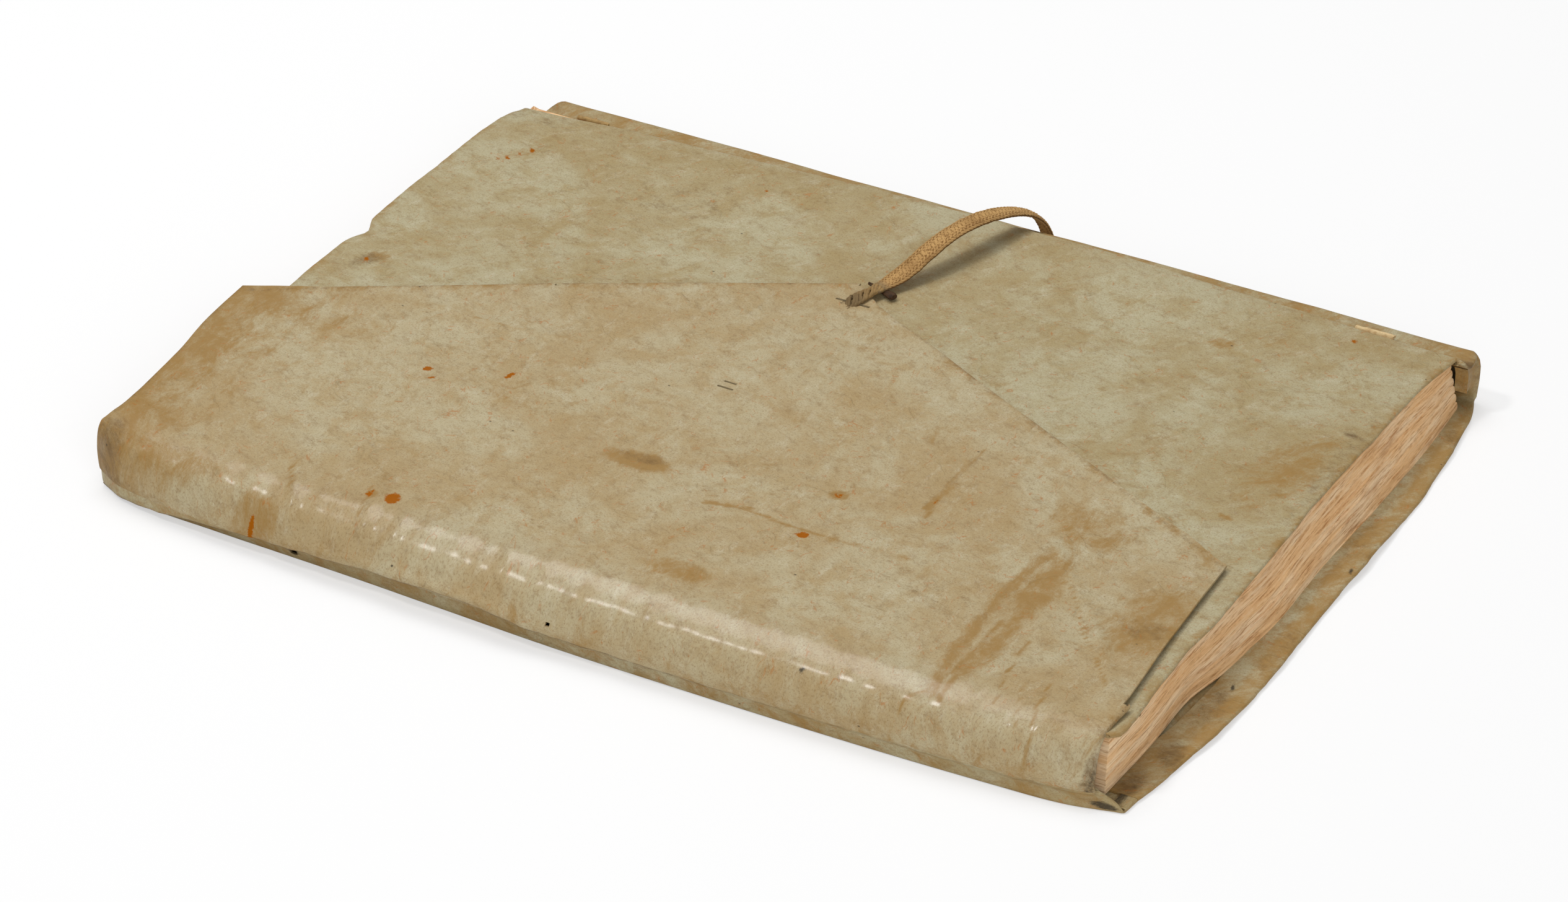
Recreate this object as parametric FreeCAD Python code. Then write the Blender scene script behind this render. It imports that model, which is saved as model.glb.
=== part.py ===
import FreeCAD, Part
import math
import os

# A limp vellum book with an envelope flap
#
# One folded vellum sheet wraps a block of sewn paper leaves: lower cover, spine wall and
# front cover. The same sheet goes on past the fore-edge as a low lip, a rounded wall and
# a five-sided flap that lies on the front cover. A flat tie, anchored in a slit near the
# flap's tip, passes over the spine edge and hangs behind it.
#
# Frame: +X runs from the head to the tail of the book, +Y from the fore-edge to the
# spine, +Z up. The origin is on the table under the middle of the lower cover.
# Sizes are in millimetres.

# The leaves
GATHERINGS = 6
GATHERING_THICKNESS = 2.5
LEAF_WIDTH = 212.4
HEAD_X = -151.0
TOP_LEAF_TAIL_X = 152.0
TAIL_SKEW = 6.5
TAIL_WAVE = 1.6
SPINE_Y = 108.4

# The vellum sheet
SHEET = 0.7
TURN_IN = 14.0
SPINE_GAP = 9.5
WALL_LEAN = 2.4
FOLD_RADIUS = 3.0
JOINT_DROP = 0.8
JOINT_SLOPE = 1.6

# The lower cover
LOWER_HEAD_X = -160.0
LOWER_TAIL_X = 165.0
TAIL_BELLY = 2.6
CORNER_CUT = 5.0

# The front cover
COVER_HEAD_X = -154.6
COVER_TAIL_X = 154.6
COVER_MARGIN = 0.6
HEAD_STEP = 2.2
HEAD_STEP_Y = 13.0

# The spine wall
SPINE_HEAD_X = -147.0
SPINE_TAIL_X = 159.6

# The fore-edge
FORE_REACH = 15.4
FORE_SAG = 7.0
LIP_HEIGHT = 5.3
LIP_FOLD = 4.0
LIP_FOLD_RADIUS = 3.4
WALL_HEAD_X = -161.0
WALL_TAIL_X = 149.5
EDGE_SECTIONS = 9
WALL_BULGE = 0.5
WALL_ROUND = 0.8
UPPER_FOLD_INSET = 13.5
HINGE_GAP = 0.3

# The flap
FLAP_REST_GAP = 0.4
FLAP_HEAD_X = -160.0
FLAP_TAIL_X = 152.5
FLAP_HEAD_SHOULDER = (-167.0, -31.0)
FLAP_TAIL_SHOULDER = (146.0, -26.0)
FLAP_TIP_HEAD = (-10.5, 60.5)
FLAP_TIP_TAIL = (0.5, 51.5)
FLAP_HEAD_BOW = 2.6
FLAP_CORNER_RADIUS = 1.6

# The slits and holes
TIE_SLIT = (11.0, 0.9)
OLD_SLIT = (5.0, 0.9)
OLD_SLIT_CENTRE = (-16.6, -7.4)
OLD_SLIT_STEP = 3.0
COVER_SLIT = (1.0, 3.4)
COVER_SLIT_CENTRE = (148.0, 54.8)
LIP_HOLE_RADIUS = 1.4
LIP_HOLE_X = -92.0
WALL_HOLE_RADIUS = 0.5
WALL_HOLE_X = -8.0

# The sewing
SUPPORT_X = (-132.5, 130.0)
SUPPORT_WIDTH = 10.0
SUPPORT_THICKNESS = 1.2
SUPPORT_TAIL = 2.6
SUPPORT_CLEARANCE = 0.1
THREAD = 0.6
KETTLE_INSET = 9.0

# The tie
TIE_START = (-5.45, 55.06)
TIE_BEARING = 20.0
TIE_WIDTH = 6.5
TIE_THICKNESS = 1.7
ROOT_WIDTH = 6.0
ROOT_FROM = -7.4
ROOT_TO = 2.5
ROOT_SLIT_INSET = 1.8
LACE_AT = 13.3
LACE_SIZE = (11.0, 3.4, 1.5)

# The tie's route: distance along its bearing and height, chosen by hand
TIE_ROUTE = [
    (2.5, 20.1),
    (8.0, 20.1),
    (15.5, 21.3),
    (24.0, 24.7),
    (34.0, 27.6),
    (45.0, 28.3),
    (56.0, 26.9),
    (66.0, 24.0),
    (73.5, 19.2),
    (77.4, 12.6),
    (78.4, 6.6),
    (78.0, 2.8),
]
ARC_SHARE = 0.45

# What follows from the sizes above
BLOCK_THICKNESS = GATHERINGS * GATHERING_THICKNESS
BLOCK_BOTTOM = 2.0 * SHEET
BLOCK_TOP = BLOCK_BOTTOM + BLOCK_THICKNESS
COVER_BOTTOM = BLOCK_TOP + SHEET
COVER_TOP = COVER_BOTTOM + SHEET
FORE_Y = SPINE_Y - LEAF_WIDTH
WALL_BOTTOM_Y = SPINE_Y + SPINE_GAP - WALL_LEAN + SHEET
WALL_TOP_Y = SPINE_Y + SPINE_GAP + SHEET
STRIP_TOP = COVER_TOP - JOINT_DROP
FORE_OUT_Y = FORE_Y - FORE_REACH
FLAP_BOTTOM = COVER_TOP + FLAP_REST_GAP
FLAP_TOP = FLAP_BOTTOM + SHEET
UPPER_FOLD_Y = FORE_OUT_Y + UPPER_FOLD_INSET
REACH = 2.0 * LOWER_TAIL_X


def point(x, y, z=0.0):
    return FreeCAD.Vector(x, y, z)


def box(low, high):
    """A block between two opposite corners."""
    size = [high[i] - low[i] for i in range(3)]
    return Part.makeBox(size[0], size[1], size[2], point(*low))


def spline(points):
    """One smooth edge through the points."""
    curve = Part.BSplineCurve()
    curve.interpolate([point(*p) for p in points])
    return curve.toShape()


def line(start, end):
    return Part.LineSegment(point(*start), point(*end)).toShape()


def prism(edges, low_z, high_z):
    """A closed plan outline at height 0, raised from low_z to high_z."""
    face = Part.Face(Part.Wire(edges))
    face.translate(point(0, 0, low_z))
    return face.extrude(point(0, 0, high_z - low_z))


def rounded_path(points, radii):
    """Straight runs joined by tangent arcs. One radius for each inner point."""
    edges = []
    here = points[0]
    for before, corner, after, radius in zip(points, points[1:], points[2:], radii):
        into = (corner - before).normalize()
        out = (after - corner).normalize()
        turn = into.getAngle(out)
        reach = radius * math.tan(turn / 2.0)
        first = corner - into * reach
        last = corner + out * reach
        inward = (out - into).normalize()
        centre = corner + inward * (radius / math.cos(turn / 2.0))
        middle = centre - inward * radius
        edges.append(Part.LineSegment(here, first).toShape())
        edges.append(Part.Arc(first, middle, last).toShape())
        here = last
    edges.append(Part.LineSegment(here, points[-1]).toShape())
    return edges


def left_offset(points, distance):
    """A polyline in a plane of constant x, moved to its left by a distance."""
    normals = []
    for start, end in zip(points, points[1:]):
        along = (end - start).normalize()
        normals.append(point(0.0, -along.z, along.y))
    moved = [points[0] + normals[0] * distance]
    for before, after, corner in zip(normals, normals[1:], points[1:-1]):
        both = before + after
        moved.append(corner + both * (2.0 * distance / both.dot(both)))
    moved.append(points[-1] + normals[-1] * distance)
    return moved


def sheet_section(x, outline, radii, turns_left):
    """The closed section of a folded sheet, from its outer line and its fold radii."""
    outer = [point(x, y, z) for y, z in outline]
    inner = left_offset(outer, SHEET)
    inner_radii = [r - SHEET if left else r + SHEET for r, left in zip(radii, turns_left)]
    edges = rounded_path(outer, radii)
    edges.append(Part.LineSegment(outer[-1], inner[-1]).toShape())
    edges.extend(rounded_path(inner[::-1], inner_radii[::-1]))
    edges.append(Part.LineSegment(inner[0], outer[0]).toShape())
    return Part.Wire(edges)


# The text block

def block_outline(tail_points, z):
    """The plan of the leaves at one height, with a waved tail edge."""
    head_low = (HEAD_X, FORE_Y, z)
    head_high = (HEAD_X, SPINE_Y, z)
    tail = [(x, y, z) for x, y in tail_points]
    edges = [line(head_low, tail[0]), spline(tail), line(tail[-1], head_high), line(head_high, head_low)]
    return Part.Wire(edges)


def spine_folds():
    """The section of the leaves: square at the fore-edge, one fold per gathering behind."""
    radius = GATHERING_THICKNESS / 2.0
    fold_y = SPINE_Y - radius
    edges = [line((0, fold_y, BLOCK_TOP), (0, FORE_Y, BLOCK_TOP))]
    edges.append(line((0, FORE_Y, BLOCK_TOP), (0, FORE_Y, BLOCK_BOTTOM)))
    edges.append(line((0, FORE_Y, BLOCK_BOTTOM), (0, fold_y, BLOCK_BOTTOM)))
    for number in range(GATHERINGS):
        low = BLOCK_BOTTOM + number * GATHERING_THICKNESS
        low_end = point(0, fold_y, low)
        back = point(0, SPINE_Y, low + radius)
        high_end = point(0, fold_y, low + GATHERING_THICKNESS)
        edges.append(Part.Arc(low_end, back, high_end).toShape())
    return Part.Face(Part.Wire(edges))


def make_text_block():
    """The sewn leaves as one solid. The lower leaves stand out past the upper ones."""
    quarter = LEAF_WIDTH / 4.0
    rows = [FORE_Y + quarter * number for number in range(5)]
    top_x = [TOP_LEAF_TAIL_X + TAIL_WAVE * step for step in (-0.6, -1.0, 0.2, -0.6, 1.0)]
    skew = [TAIL_SKEW * share for share in (0.0, 0.55, 1.0, 1.0, 0.6)]
    top = block_outline(list(zip(top_x, rows)), BLOCK_TOP)
    bottom_x = [x + out for x, out in zip(top_x, skew)]
    bottom = block_outline(list(zip(bottom_x, rows)), BLOCK_BOTTOM)
    leaves = Part.makeLoft([bottom, top], True, True)
    section = spine_folds()
    section.translate(point(-REACH, 0, 0))
    return leaves.common(section.extrude(point(2.0 * REACH, 0, 0)))


# The vellum case

def wrap_section(x):
    """The sheet from the lower cover's fore-edge, round the spine, to the front cover's."""
    outline = [
        (FORE_Y - LIP_FOLD, 0.0),
        (WALL_BOTTOM_Y, 0.0),
        (WALL_TOP_Y, STRIP_TOP),
        (SPINE_Y + JOINT_SLOPE, STRIP_TOP),
        (SPINE_Y, COVER_TOP),
        (FORE_Y - COVER_MARGIN, COVER_TOP),
    ]
    radii = [FOLD_RADIUS * 0.7, FOLD_RADIUS, SHEET, 2.0 * SHEET]
    return sheet_section(x, outline, radii, [True, True, False, True])


def lower_outline():
    """The lower cover's plan: a bellied tail edge and cut corners at the spine."""
    fore = FORE_Y - LIP_FOLD
    corner_y = WALL_TOP_Y - 3.0 * CORNER_CUT
    tail = [
        (LOWER_TAIL_X - 6.0, fore - 2.5, 0),
        (LOWER_TAIL_X, fore * 0.55, 0),
        (LOWER_TAIL_X + TAIL_BELLY, 0.1 * LEAF_WIDTH, 0),
        (LOWER_TAIL_X + 0.3 * TAIL_BELLY, 0.38 * LEAF_WIDTH, 0),
        (LOWER_TAIL_X - 0.4, corner_y, 0),
    ]
    spine_tail = (SPINE_TAIL_X, WALL_TOP_Y + 1.0, 0)
    spine_head = (SPINE_HEAD_X, WALL_TOP_Y + 1.0, 0)
    head = [
        (LOWER_HEAD_X + CORNER_CUT, corner_y + CORNER_CUT, 0),
        (LOWER_HEAD_X - 0.8 * TAIL_BELLY, 0, 0),
        (LOWER_HEAD_X + 0.6, fore, 0),
    ]
    return [
        spline(tail),
        line(tail[-1], spine_tail),
        line(spine_tail, spine_head),
        line(spine_head, head[0]),
        spline(head),
        line(head[-1], tail[0]),
    ]


def cover_outline():
    """The front cover's plan: waved tail edge, and a small worn step in the head edge."""
    fore = FORE_Y - COVER_MARGIN
    back = SPINE_Y + JOINT_SLOPE
    tail = [
        (COVER_TAIL_X + 0.4, fore, 0),
        (COVER_TAIL_X - 2.0, -0.1 * LEAF_WIDTH, 0),
        (COVER_TAIL_X + 0.2, 0.06 * LEAF_WIDTH, 0),
        (COVER_TAIL_X - 1.8, 0.23 * LEAF_WIDTH, 0),
        (COVER_TAIL_X + 1.4, back, 0),
    ]
    head = [
        (COVER_HEAD_X + 2.4, back, 0),
        (COVER_HEAD_X, HEAD_STEP_Y + 5.0, 0),
        (COVER_HEAD_X + 0.7, HEAD_STEP_Y + 3.0, 0),
        (COVER_HEAD_X - HEAD_STEP, HEAD_STEP_Y - 4.0, 0),
        (COVER_HEAD_X - HEAD_STEP, fore, 0),
    ]
    edges = [spline(tail), line(tail[-1], head[0])]
    edges.extend(line(a, b) for a, b in zip(head, head[1:]))
    edges.append(line(head[-1], tail[0]))
    return edges


def wrap_limits():
    """What the flat sheet was cut to, as three upright zones: covers and spine."""
    middle = (BLOCK_BOTTOM + BLOCK_TOP) / 2.0
    lower = prism(lower_outline(), -1.0, FOLD_RADIUS * 0.7)
    upper = prism(cover_outline(), middle, REACH)
    back = box((SPINE_HEAD_X, SPINE_Y + JOINT_SLOPE, -1.0), (SPINE_TAIL_X, WALL_TOP_Y + 1.0, REACH))
    return lower.fuse([upper, back])


def fore_out(x):
    """How far out the fore-edge stands at x: straight in the middle, drawn in at the ends."""
    return FORE_OUT_Y + FORE_SAG * (x / LOWER_TAIL_X) ** 4


def section_places(first, last):
    step = (last - first) / (EDGE_SECTIONS - 1)
    return [first + step * number for number in range(EDGE_SECTIONS)]


def lip_section(x):
    """The lower cover's turned-up fore-edge, as high as the crease."""
    out = fore_out(x)
    outline = [(out, LIP_HEIGHT - HINGE_GAP), (out, 0.0), (FORE_Y - 1.0, 0.0)]
    return sheet_section(x, outline, [LIP_FOLD_RADIUS], [True])


def make_lip():
    places = section_places(LOWER_HEAD_X + 1.0, LOWER_TAIL_X - 8.0)
    return Part.makeLoft([lip_section(x) for x in places], True, True)


def make_turn_ins():
    """The sheet's edges folded inwards, against the covers' inner faces."""
    lower = prism(lower_outline(), SHEET, 2.0 * SHEET)
    lower = lower.cut(box(
        (LOWER_HEAD_X + TURN_IN, -REACH, 0.0),
        (LOWER_TAIL_X - TURN_IN, REACH, REACH),
    ))
    lower = lower.cut(box((-REACH, SPINE_Y, 0.0), (REACH, REACH, REACH)))
    upper = prism(cover_outline(), BLOCK_TOP, BLOCK_TOP + SHEET)
    upper = upper.cut(box(
        (COVER_HEAD_X + TURN_IN, FORE_Y + TURN_IN, 0.0),
        (COVER_TAIL_X - TURN_IN, REACH, REACH),
    ))
    upper = upper.cut(box((-REACH, SPINE_Y - 1.0, 0.0), (REACH, REACH, REACH)))
    return [lower, upper]


def slit(centre, size, low_z, high_z):
    """A slot cutter centred in plan."""
    low = (centre[0] - size[0] / 2.0, centre[1] - size[1] / 2.0, low_z)
    high = (centre[0] + size[0] / 2.0, centre[1] + size[1] / 2.0, high_z)
    return box(low, high)


def support_slots():
    """The slots at the front joint where the sewing supports come out."""
    half = SUPPORT_WIDTH / 2.0 + SUPPORT_CLEARANCE
    low_y = SPINE_Y - SUPPORT_CLEARANCE
    high_y = SPINE_Y + SUPPORT_THICKNESS + SUPPORT_CLEARANCE
    return [box((x - half, low_y, BLOCK_TOP), (x + half, high_y, REACH)) for x in SUPPORT_X]


def make_vellum_case():
    """Lower cover, spine wall and front cover: one folded sheet with its edges turned in."""
    wrap = Part.Face(wrap_section(-REACH)).extrude(point(2.0 * REACH, 0, 0))
    case = wrap.common(wrap_limits())
    case = case.fuse([make_lip()] + make_turn_ins())
    hole_y = fore_out(LIP_HOLE_X)
    hole = Part.makeCylinder(LIP_HOLE_RADIUS, 4.0, point(LIP_HOLE_X, hole_y - 2.0, 3.2), point(0, 1, 0))
    cover_slit = slit(COVER_SLIT_CENTRE, COVER_SLIT, BLOCK_TOP - 1.0, REACH)
    return case.cut([hole, cover_slit] + support_slots()).removeSplitter()


# The fore-edge wall and the flap

def wall_section(x):
    """The rounded wall from the upper fold down to the crease, clear of the leaves' edges."""
    out = fore_out(x)
    end_y = UPPER_FOLD_Y - HINGE_GAP
    outline = [(end_y, FLAP_TOP), (out - WALL_BULGE, FLAP_TOP), (out, LIP_HEIGHT + HINGE_GAP)]
    return sheet_section(x, outline, [WALL_ROUND * (end_y - out)], [True])


def make_fore_edge_wall():
    places = section_places(WALL_HEAD_X, WALL_TAIL_X)
    wall = Part.makeLoft([wall_section(x) for x in places], True, True)
    hole_y = fore_out(WALL_HOLE_X)
    hole = Part.makeCylinder(WALL_HOLE_RADIUS, 6.0, point(WALL_HOLE_X, hole_y - 2.0, 9.0), point(0, 1, 0))
    return wall.cut(hole)


def flap_outline():
    """The five-sided flap: straight fold, two short sides and two long ones to its tip."""
    fold_y = UPPER_FOLD_Y + HINGE_GAP
    middle_x = (FLAP_HEAD_SHOULDER[0] + FLAP_TIP_HEAD[0]) / 2.0
    middle_y = (FLAP_HEAD_SHOULDER[1] + FLAP_TIP_HEAD[1]) / 2.0 + FLAP_HEAD_BOW
    head_side = [FLAP_HEAD_SHOULDER + (0,), (middle_x, middle_y, 0), FLAP_TIP_HEAD + (0,)]
    fold_head = (FLAP_HEAD_X, fold_y, 0)
    fold_tail = (FLAP_TAIL_X, fold_y, 0)
    return [
        line(fold_head, head_side[0]),
        spline(head_side),
        line(head_side[-1], FLAP_TIP_TAIL + (0,)),
        line(FLAP_TIP_TAIL + (0,), FLAP_TAIL_SHOULDER + (0,)),
        line(FLAP_TAIL_SHOULDER + (0,), fold_tail),
        line(fold_tail, fold_head),
    ]


def is_outer_corner(edge):
    """True for an upright edge at a corner of the flap that isn't on its fold."""
    first, last = edge.Vertexes[0].Point, edge.Vertexes[-1].Point
    upright = abs(first.x - last.x) + abs(first.y - last.y) < 1e-6
    return upright and first.y > UPPER_FOLD_Y + 2.0 * HINGE_GAP


def tie_place(distance, height=0.0):
    """A place on the tie's upright plane, from a distance along its bearing."""
    bearing = math.radians(TIE_BEARING)
    x = TIE_START[0] + distance * math.sin(bearing)
    y = TIE_START[1] + distance * math.cos(bearing)
    return point(x, y, height)


def make_envelope_flap():
    flap = prism(flap_outline(), FLAP_BOTTOM, FLAP_TOP)
    flap = flap.makeFillet(FLAP_CORNER_RADIUS, [e for e in flap.Edges if is_outer_corner(e)])
    root = tie_place(ROOT_FROM + ROOT_SLIT_INSET)
    cuts = [slit((root.x, root.y), TIE_SLIT, 0.0, REACH)]
    for side in (-0.5, 0.5):
        centre = (OLD_SLIT_CENTRE[0], OLD_SLIT_CENTRE[1] + side * OLD_SLIT_STEP)
        cuts.append(slit(centre, OLD_SLIT, 0.0, REACH))
    return flap.cut(cuts)


# The sewing

def make_sewing_support(x):
    """A flat thong sewn across the spine folds, laced out through the front joint."""
    half = SUPPORT_WIDTH / 2.0
    back = SPINE_Y + SUPPORT_THICKNESS
    outline = [
        (SPINE_Y, SHEET),
        (back, SHEET),
        (back, COVER_TOP + SUPPORT_THICKNESS),
        (SPINE_Y - SUPPORT_TAIL, COVER_TOP + 0.5 * SUPPORT_THICKNESS),
        (SPINE_Y - SUPPORT_TAIL, COVER_TOP),
        (SPINE_Y, COVER_TOP),
        (SPINE_Y, SHEET),
    ]
    corners = [point(x - half, y, z) for y, z in outline]
    support = Part.Face(Part.makePolygon(corners)).extrude(point(SUPPORT_WIDTH, 0, 0))
    bend = [e for e in support.Edges if e.CenterOfMass.z > COVER_TOP + 0.9 * SUPPORT_THICKNESS
            and e.CenterOfMass.y > back - 0.01]
    return support.makeFillet(0.8 * SUPPORT_THICKNESS, bend)


def thread_staple(middle_x, middle_z, width, depth):
    """One visible stitch: out of a fold, across, and back in."""
    half = width / 2.0
    start_y = SPINE_Y - THREAD
    outer = box((middle_x - half, start_y, middle_z - THREAD / 2.0),
                (middle_x + half, SPINE_Y + depth + THREAD, middle_z + THREAD / 2.0))
    inner = box((middle_x - half + THREAD, start_y - 1.0, middle_z - THREAD),
                (middle_x + half - THREAD, SPINE_Y + depth, middle_z + THREAD))
    staple = outer.cut(inner)
    back_y = SPINE_Y + depth + THREAD
    rims = [e for e in staple.Edges if abs(e.CenterOfMass.y - back_y) < 1e-6
            and abs(abs(e.CenterOfMass.x - middle_x) - half) < 1e-6]
    return staple.makeChamfer(0.6 * THREAD, rims)


def make_sewing_thread(block):
    """A stitch over each support at each gathering, and kettle stitches near both ends."""
    stitches = []
    for number in range(GATHERINGS):
        z = BLOCK_BOTTOM + (number + 0.5) * GATHERING_THICKNESS
        width = SUPPORT_WIDTH + 2.0 * THREAD + 2.0 * SUPPORT_CLEARANCE
        for x in SUPPORT_X:
            stitches.append(thread_staple(x, z, width, SUPPORT_THICKNESS))
        for x in (HEAD_X + KETTLE_INSET, TOP_LEAF_TAIL_X - KETTLE_INSET):
            stitches.append(thread_staple(x, z, 4.0 * THREAD, 0.0))
    return Part.makeCompound([stitch.cut(block) for stitch in stitches])


# The tie

def tie_across():
    """The level direction square to the tie's upright plane."""
    bearing = math.radians(TIE_BEARING)
    return point(math.cos(bearing), -math.sin(bearing), 0.0)


def route_radii(corners):
    """The largest arcs that the runs allow."""
    radii = []
    for before, corner, after in zip(corners, corners[1:], corners[2:]):
        turn = (corner - before).getAngle(after - corner)
        run = min((corner - before).Length, (after - corner).Length)
        radii.append(ARC_SHARE * run / math.tan(turn / 2.0))
    return radii


def make_tie_thong():
    """The flat strap: its route thickened to both sides and given its width."""
    corners = [tie_place(distance, height) for distance, height in TIE_ROUTE]
    radii = route_radii(corners)
    path = Part.Wire(rounded_path(corners, radii))
    across = tie_across()
    start = corners[0]
    along = (corners[1] - corners[0]).normalize()
    up = across.cross(along).normalize()
    half_width, half_thickness = TIE_WIDTH / 2.0, TIE_THICKNESS / 2.0
    section = [
        start + across * half_width + up * half_thickness,
        start - across * half_width + up * half_thickness,
        start - across * half_width - up * half_thickness,
        start + across * half_width - up * half_thickness,
    ]
    profile = Part.makePolygon(section + section[:1])
    thong = path.makePipeShell([profile], True, False)
    print("tie radii", [round(r, 1) for r in radii])
    print("tie length", round(path.Length, 1), "volume", round(thong.Volume, 1),
          "section by length", round(path.Length * TIE_WIDTH * TIE_THICKNESS, 1))
    return thong


def make_tie_root():
    """The worn root of the tie: a tongue up through the slit, then flat on the flap."""
    top = FLAP_TOP + TIE_THICKNESS
    outline = [
        (ROOT_FROM, FLAP_TOP),
        (ROOT_TO, FLAP_TOP),
        (ROOT_TO, top + 0.2),
        (ROOT_FROM + 3.0, top),
        (ROOT_FROM, FLAP_TOP + 0.6),
    ]
    corners = [tie_place(distance, height) for distance, height in outline]
    across = tie_across()
    face = Part.Face(Part.makePolygon(corners + corners[:1]))
    face.translate(across * (-ROOT_WIDTH / 2.0))
    flat = face.extrude(across * ROOT_WIDTH)
    slit_at = tie_place(ROOT_FROM + ROOT_SLIT_INSET)
    tongue = slit((slit_at.x, slit_at.y), (ROOT_WIDTH, 0.9 * SHEET), FLAP_BOTTOM, FLAP_TOP)
    return flat.fuse(tongue).removeSplitter()


def make_tie_lace():
    """A short dark lace that crosses under the strap, just past the flap's tip."""
    length, width, thickness = LACE_SIZE
    low_z = COVER_TOP + HINGE_GAP
    lace = Part.makeBox(length, width, thickness, point(-length / 2.0, -width / 2.0, low_z))
    long_edges = [e for e in lace.Edges if abs(e.Length - length) < 1e-6]
    lace = lace.makeFillet(0.4 * thickness, long_edges)
    lace.rotate(point(0, 0, 0), point(0, 0, 1), -TIE_BEARING)
    lace.translate(tie_place(LACE_AT))
    return lace


def save(name, shape):
    print(name, "solids", len(shape.Solids), "valid", shape.isValid(), "volume", round(shape.Volume, 1))
    shape.exportStep(os.path.join("parts", name + ".step"))


def main():
    os.makedirs("parts", exist_ok=True)
    block = make_text_block()
    save("text_block", block)
    save("vellum_case", make_vellum_case())
    save("fore_edge_wall", make_fore_edge_wall())
    save("envelope_flap", make_envelope_flap())
    for name, x in zip(("head_sewing_support", "tail_sewing_support"), SUPPORT_X):
        save(name, make_sewing_support(x))
    save("sewing_thread", make_sewing_thread(block))
    save("tie_root", make_tie_root())
    save("tie_thong", make_tie_thong())
    save("tie_lace", make_tie_lace())


main()
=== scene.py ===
# %% [markdown]
# # A limp vellum book with an envelope flap
#
# An old account book: sewn paper leaves in one folded skin of vellum. The skin makes the
# lower cover, the spine wall and the front cover, and goes on past the fore-edge as a wall
# and a five-sided flap. A flat woven tie hangs from the flap's tip.
# The frame holds the book's pieces at their real size. This lesson dresses them.

# %% Load the frame
import bisect
import math
import random

import bpy
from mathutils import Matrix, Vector, noise


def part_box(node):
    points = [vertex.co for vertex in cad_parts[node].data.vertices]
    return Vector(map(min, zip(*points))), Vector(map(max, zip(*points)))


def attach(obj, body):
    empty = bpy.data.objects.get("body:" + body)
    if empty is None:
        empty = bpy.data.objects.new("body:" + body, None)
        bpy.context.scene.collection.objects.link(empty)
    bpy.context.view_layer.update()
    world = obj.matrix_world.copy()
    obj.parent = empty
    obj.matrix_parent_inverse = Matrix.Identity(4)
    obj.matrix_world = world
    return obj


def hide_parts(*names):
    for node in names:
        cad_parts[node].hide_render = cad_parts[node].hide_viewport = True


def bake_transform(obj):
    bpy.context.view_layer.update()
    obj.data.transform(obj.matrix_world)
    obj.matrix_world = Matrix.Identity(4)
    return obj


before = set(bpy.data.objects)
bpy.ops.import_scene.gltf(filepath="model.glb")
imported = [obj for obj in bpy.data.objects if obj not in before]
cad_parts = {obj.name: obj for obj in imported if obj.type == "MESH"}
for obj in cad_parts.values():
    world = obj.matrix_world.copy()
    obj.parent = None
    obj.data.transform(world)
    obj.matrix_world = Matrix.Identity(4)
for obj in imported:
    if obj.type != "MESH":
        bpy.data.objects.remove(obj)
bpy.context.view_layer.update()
MM = 0.001

# %% [markdown]
# ## The camera
#
# The book lies flat and is seen from above its fore-edge, a little from the tail. A long
# lens from one and a half metres keeps the far edges almost parallel.

# %% Camera
CAMERA_PLACE = (0.6104, -1.1068, 0.8154)
CAMERA_LOOK = (-0.4069, 0.7347, -0.5428)
CAMERA_LENS = 121.54

turn = Vector(CAMERA_LOOK).to_track_quat("-Z", "Y").to_euler()
bpy.ops.object.camera_add(location=CAMERA_PLACE, rotation=turn)
camera = bpy.context.active_object
camera.data.sensor_width = 36.0
camera.data.lens = CAMERA_LENS
bpy.context.scene.camera = camera
print("camera lens", CAMERA_LENS)

# %% [markdown]
# ## The tie's route
#
# The strap is a length of something limp, so its line comes before its shape. The control
# points are its real places, in metres: level out of the flap's slit, up in a low arch over
# the spine edge, and down behind it. A NURBS spline of order 3 runs smoothly near them.

# %% Line of the tie
TIE_POINTS = [
    (-0.00460, 0.05741, 0.0201),
    (-0.00271, 0.06258, 0.0202),
    (-0.00015, 0.06963, 0.0216),
    (0.00270, 0.07740, 0.0254),
    (0.00600, 0.08640, 0.0281),
    (0.00950, 0.09600, 0.0286),
    (0.01290, 0.10540, 0.0270),
    (0.01590, 0.11360, 0.0240),
    (0.01800, 0.11990, 0.0189),
    (0.01910, 0.12310, 0.0128),
    (0.01950, 0.12400, 0.0074),
    (0.01940, 0.12380, 0.0028),
]
TIE_WIDTH = 6.5 * MM
TIE_BEARING = math.radians(20.0)
TIE_ACROSS = Vector((math.cos(TIE_BEARING), -math.sin(TIE_BEARING), 0.0))


def spline_line(name, points, steps=12):
    """The smooth line that a NURBS spline makes of its control points."""
    curve = bpy.data.curves.new(name, "CURVE")
    curve.dimensions = "3D"
    curve.resolution_u = steps
    spline = curve.splines.new("NURBS")
    spline.points.add(len(points) - 1)
    for control, place in zip(spline.points, points):
        control.co = (*place, 1.0)
    spline.order_u = 3
    spline.use_endpoint_u = True
    holder = bpy.data.objects.new(name, curve)
    bpy.context.scene.collection.objects.link(holder)
    bpy.context.view_layer.update()
    mesh = bpy.data.meshes.new_from_object(holder.evaluated_get(bpy.context.evaluated_depsgraph_get()))
    line = [vertex.co.copy() for vertex in mesh.vertices]
    bpy.data.objects.remove(holder)
    bpy.data.meshes.remove(mesh)
    return line


tie_line = spline_line("tie line", TIE_POINTS)
print("tie line points", len(tie_line))

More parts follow.
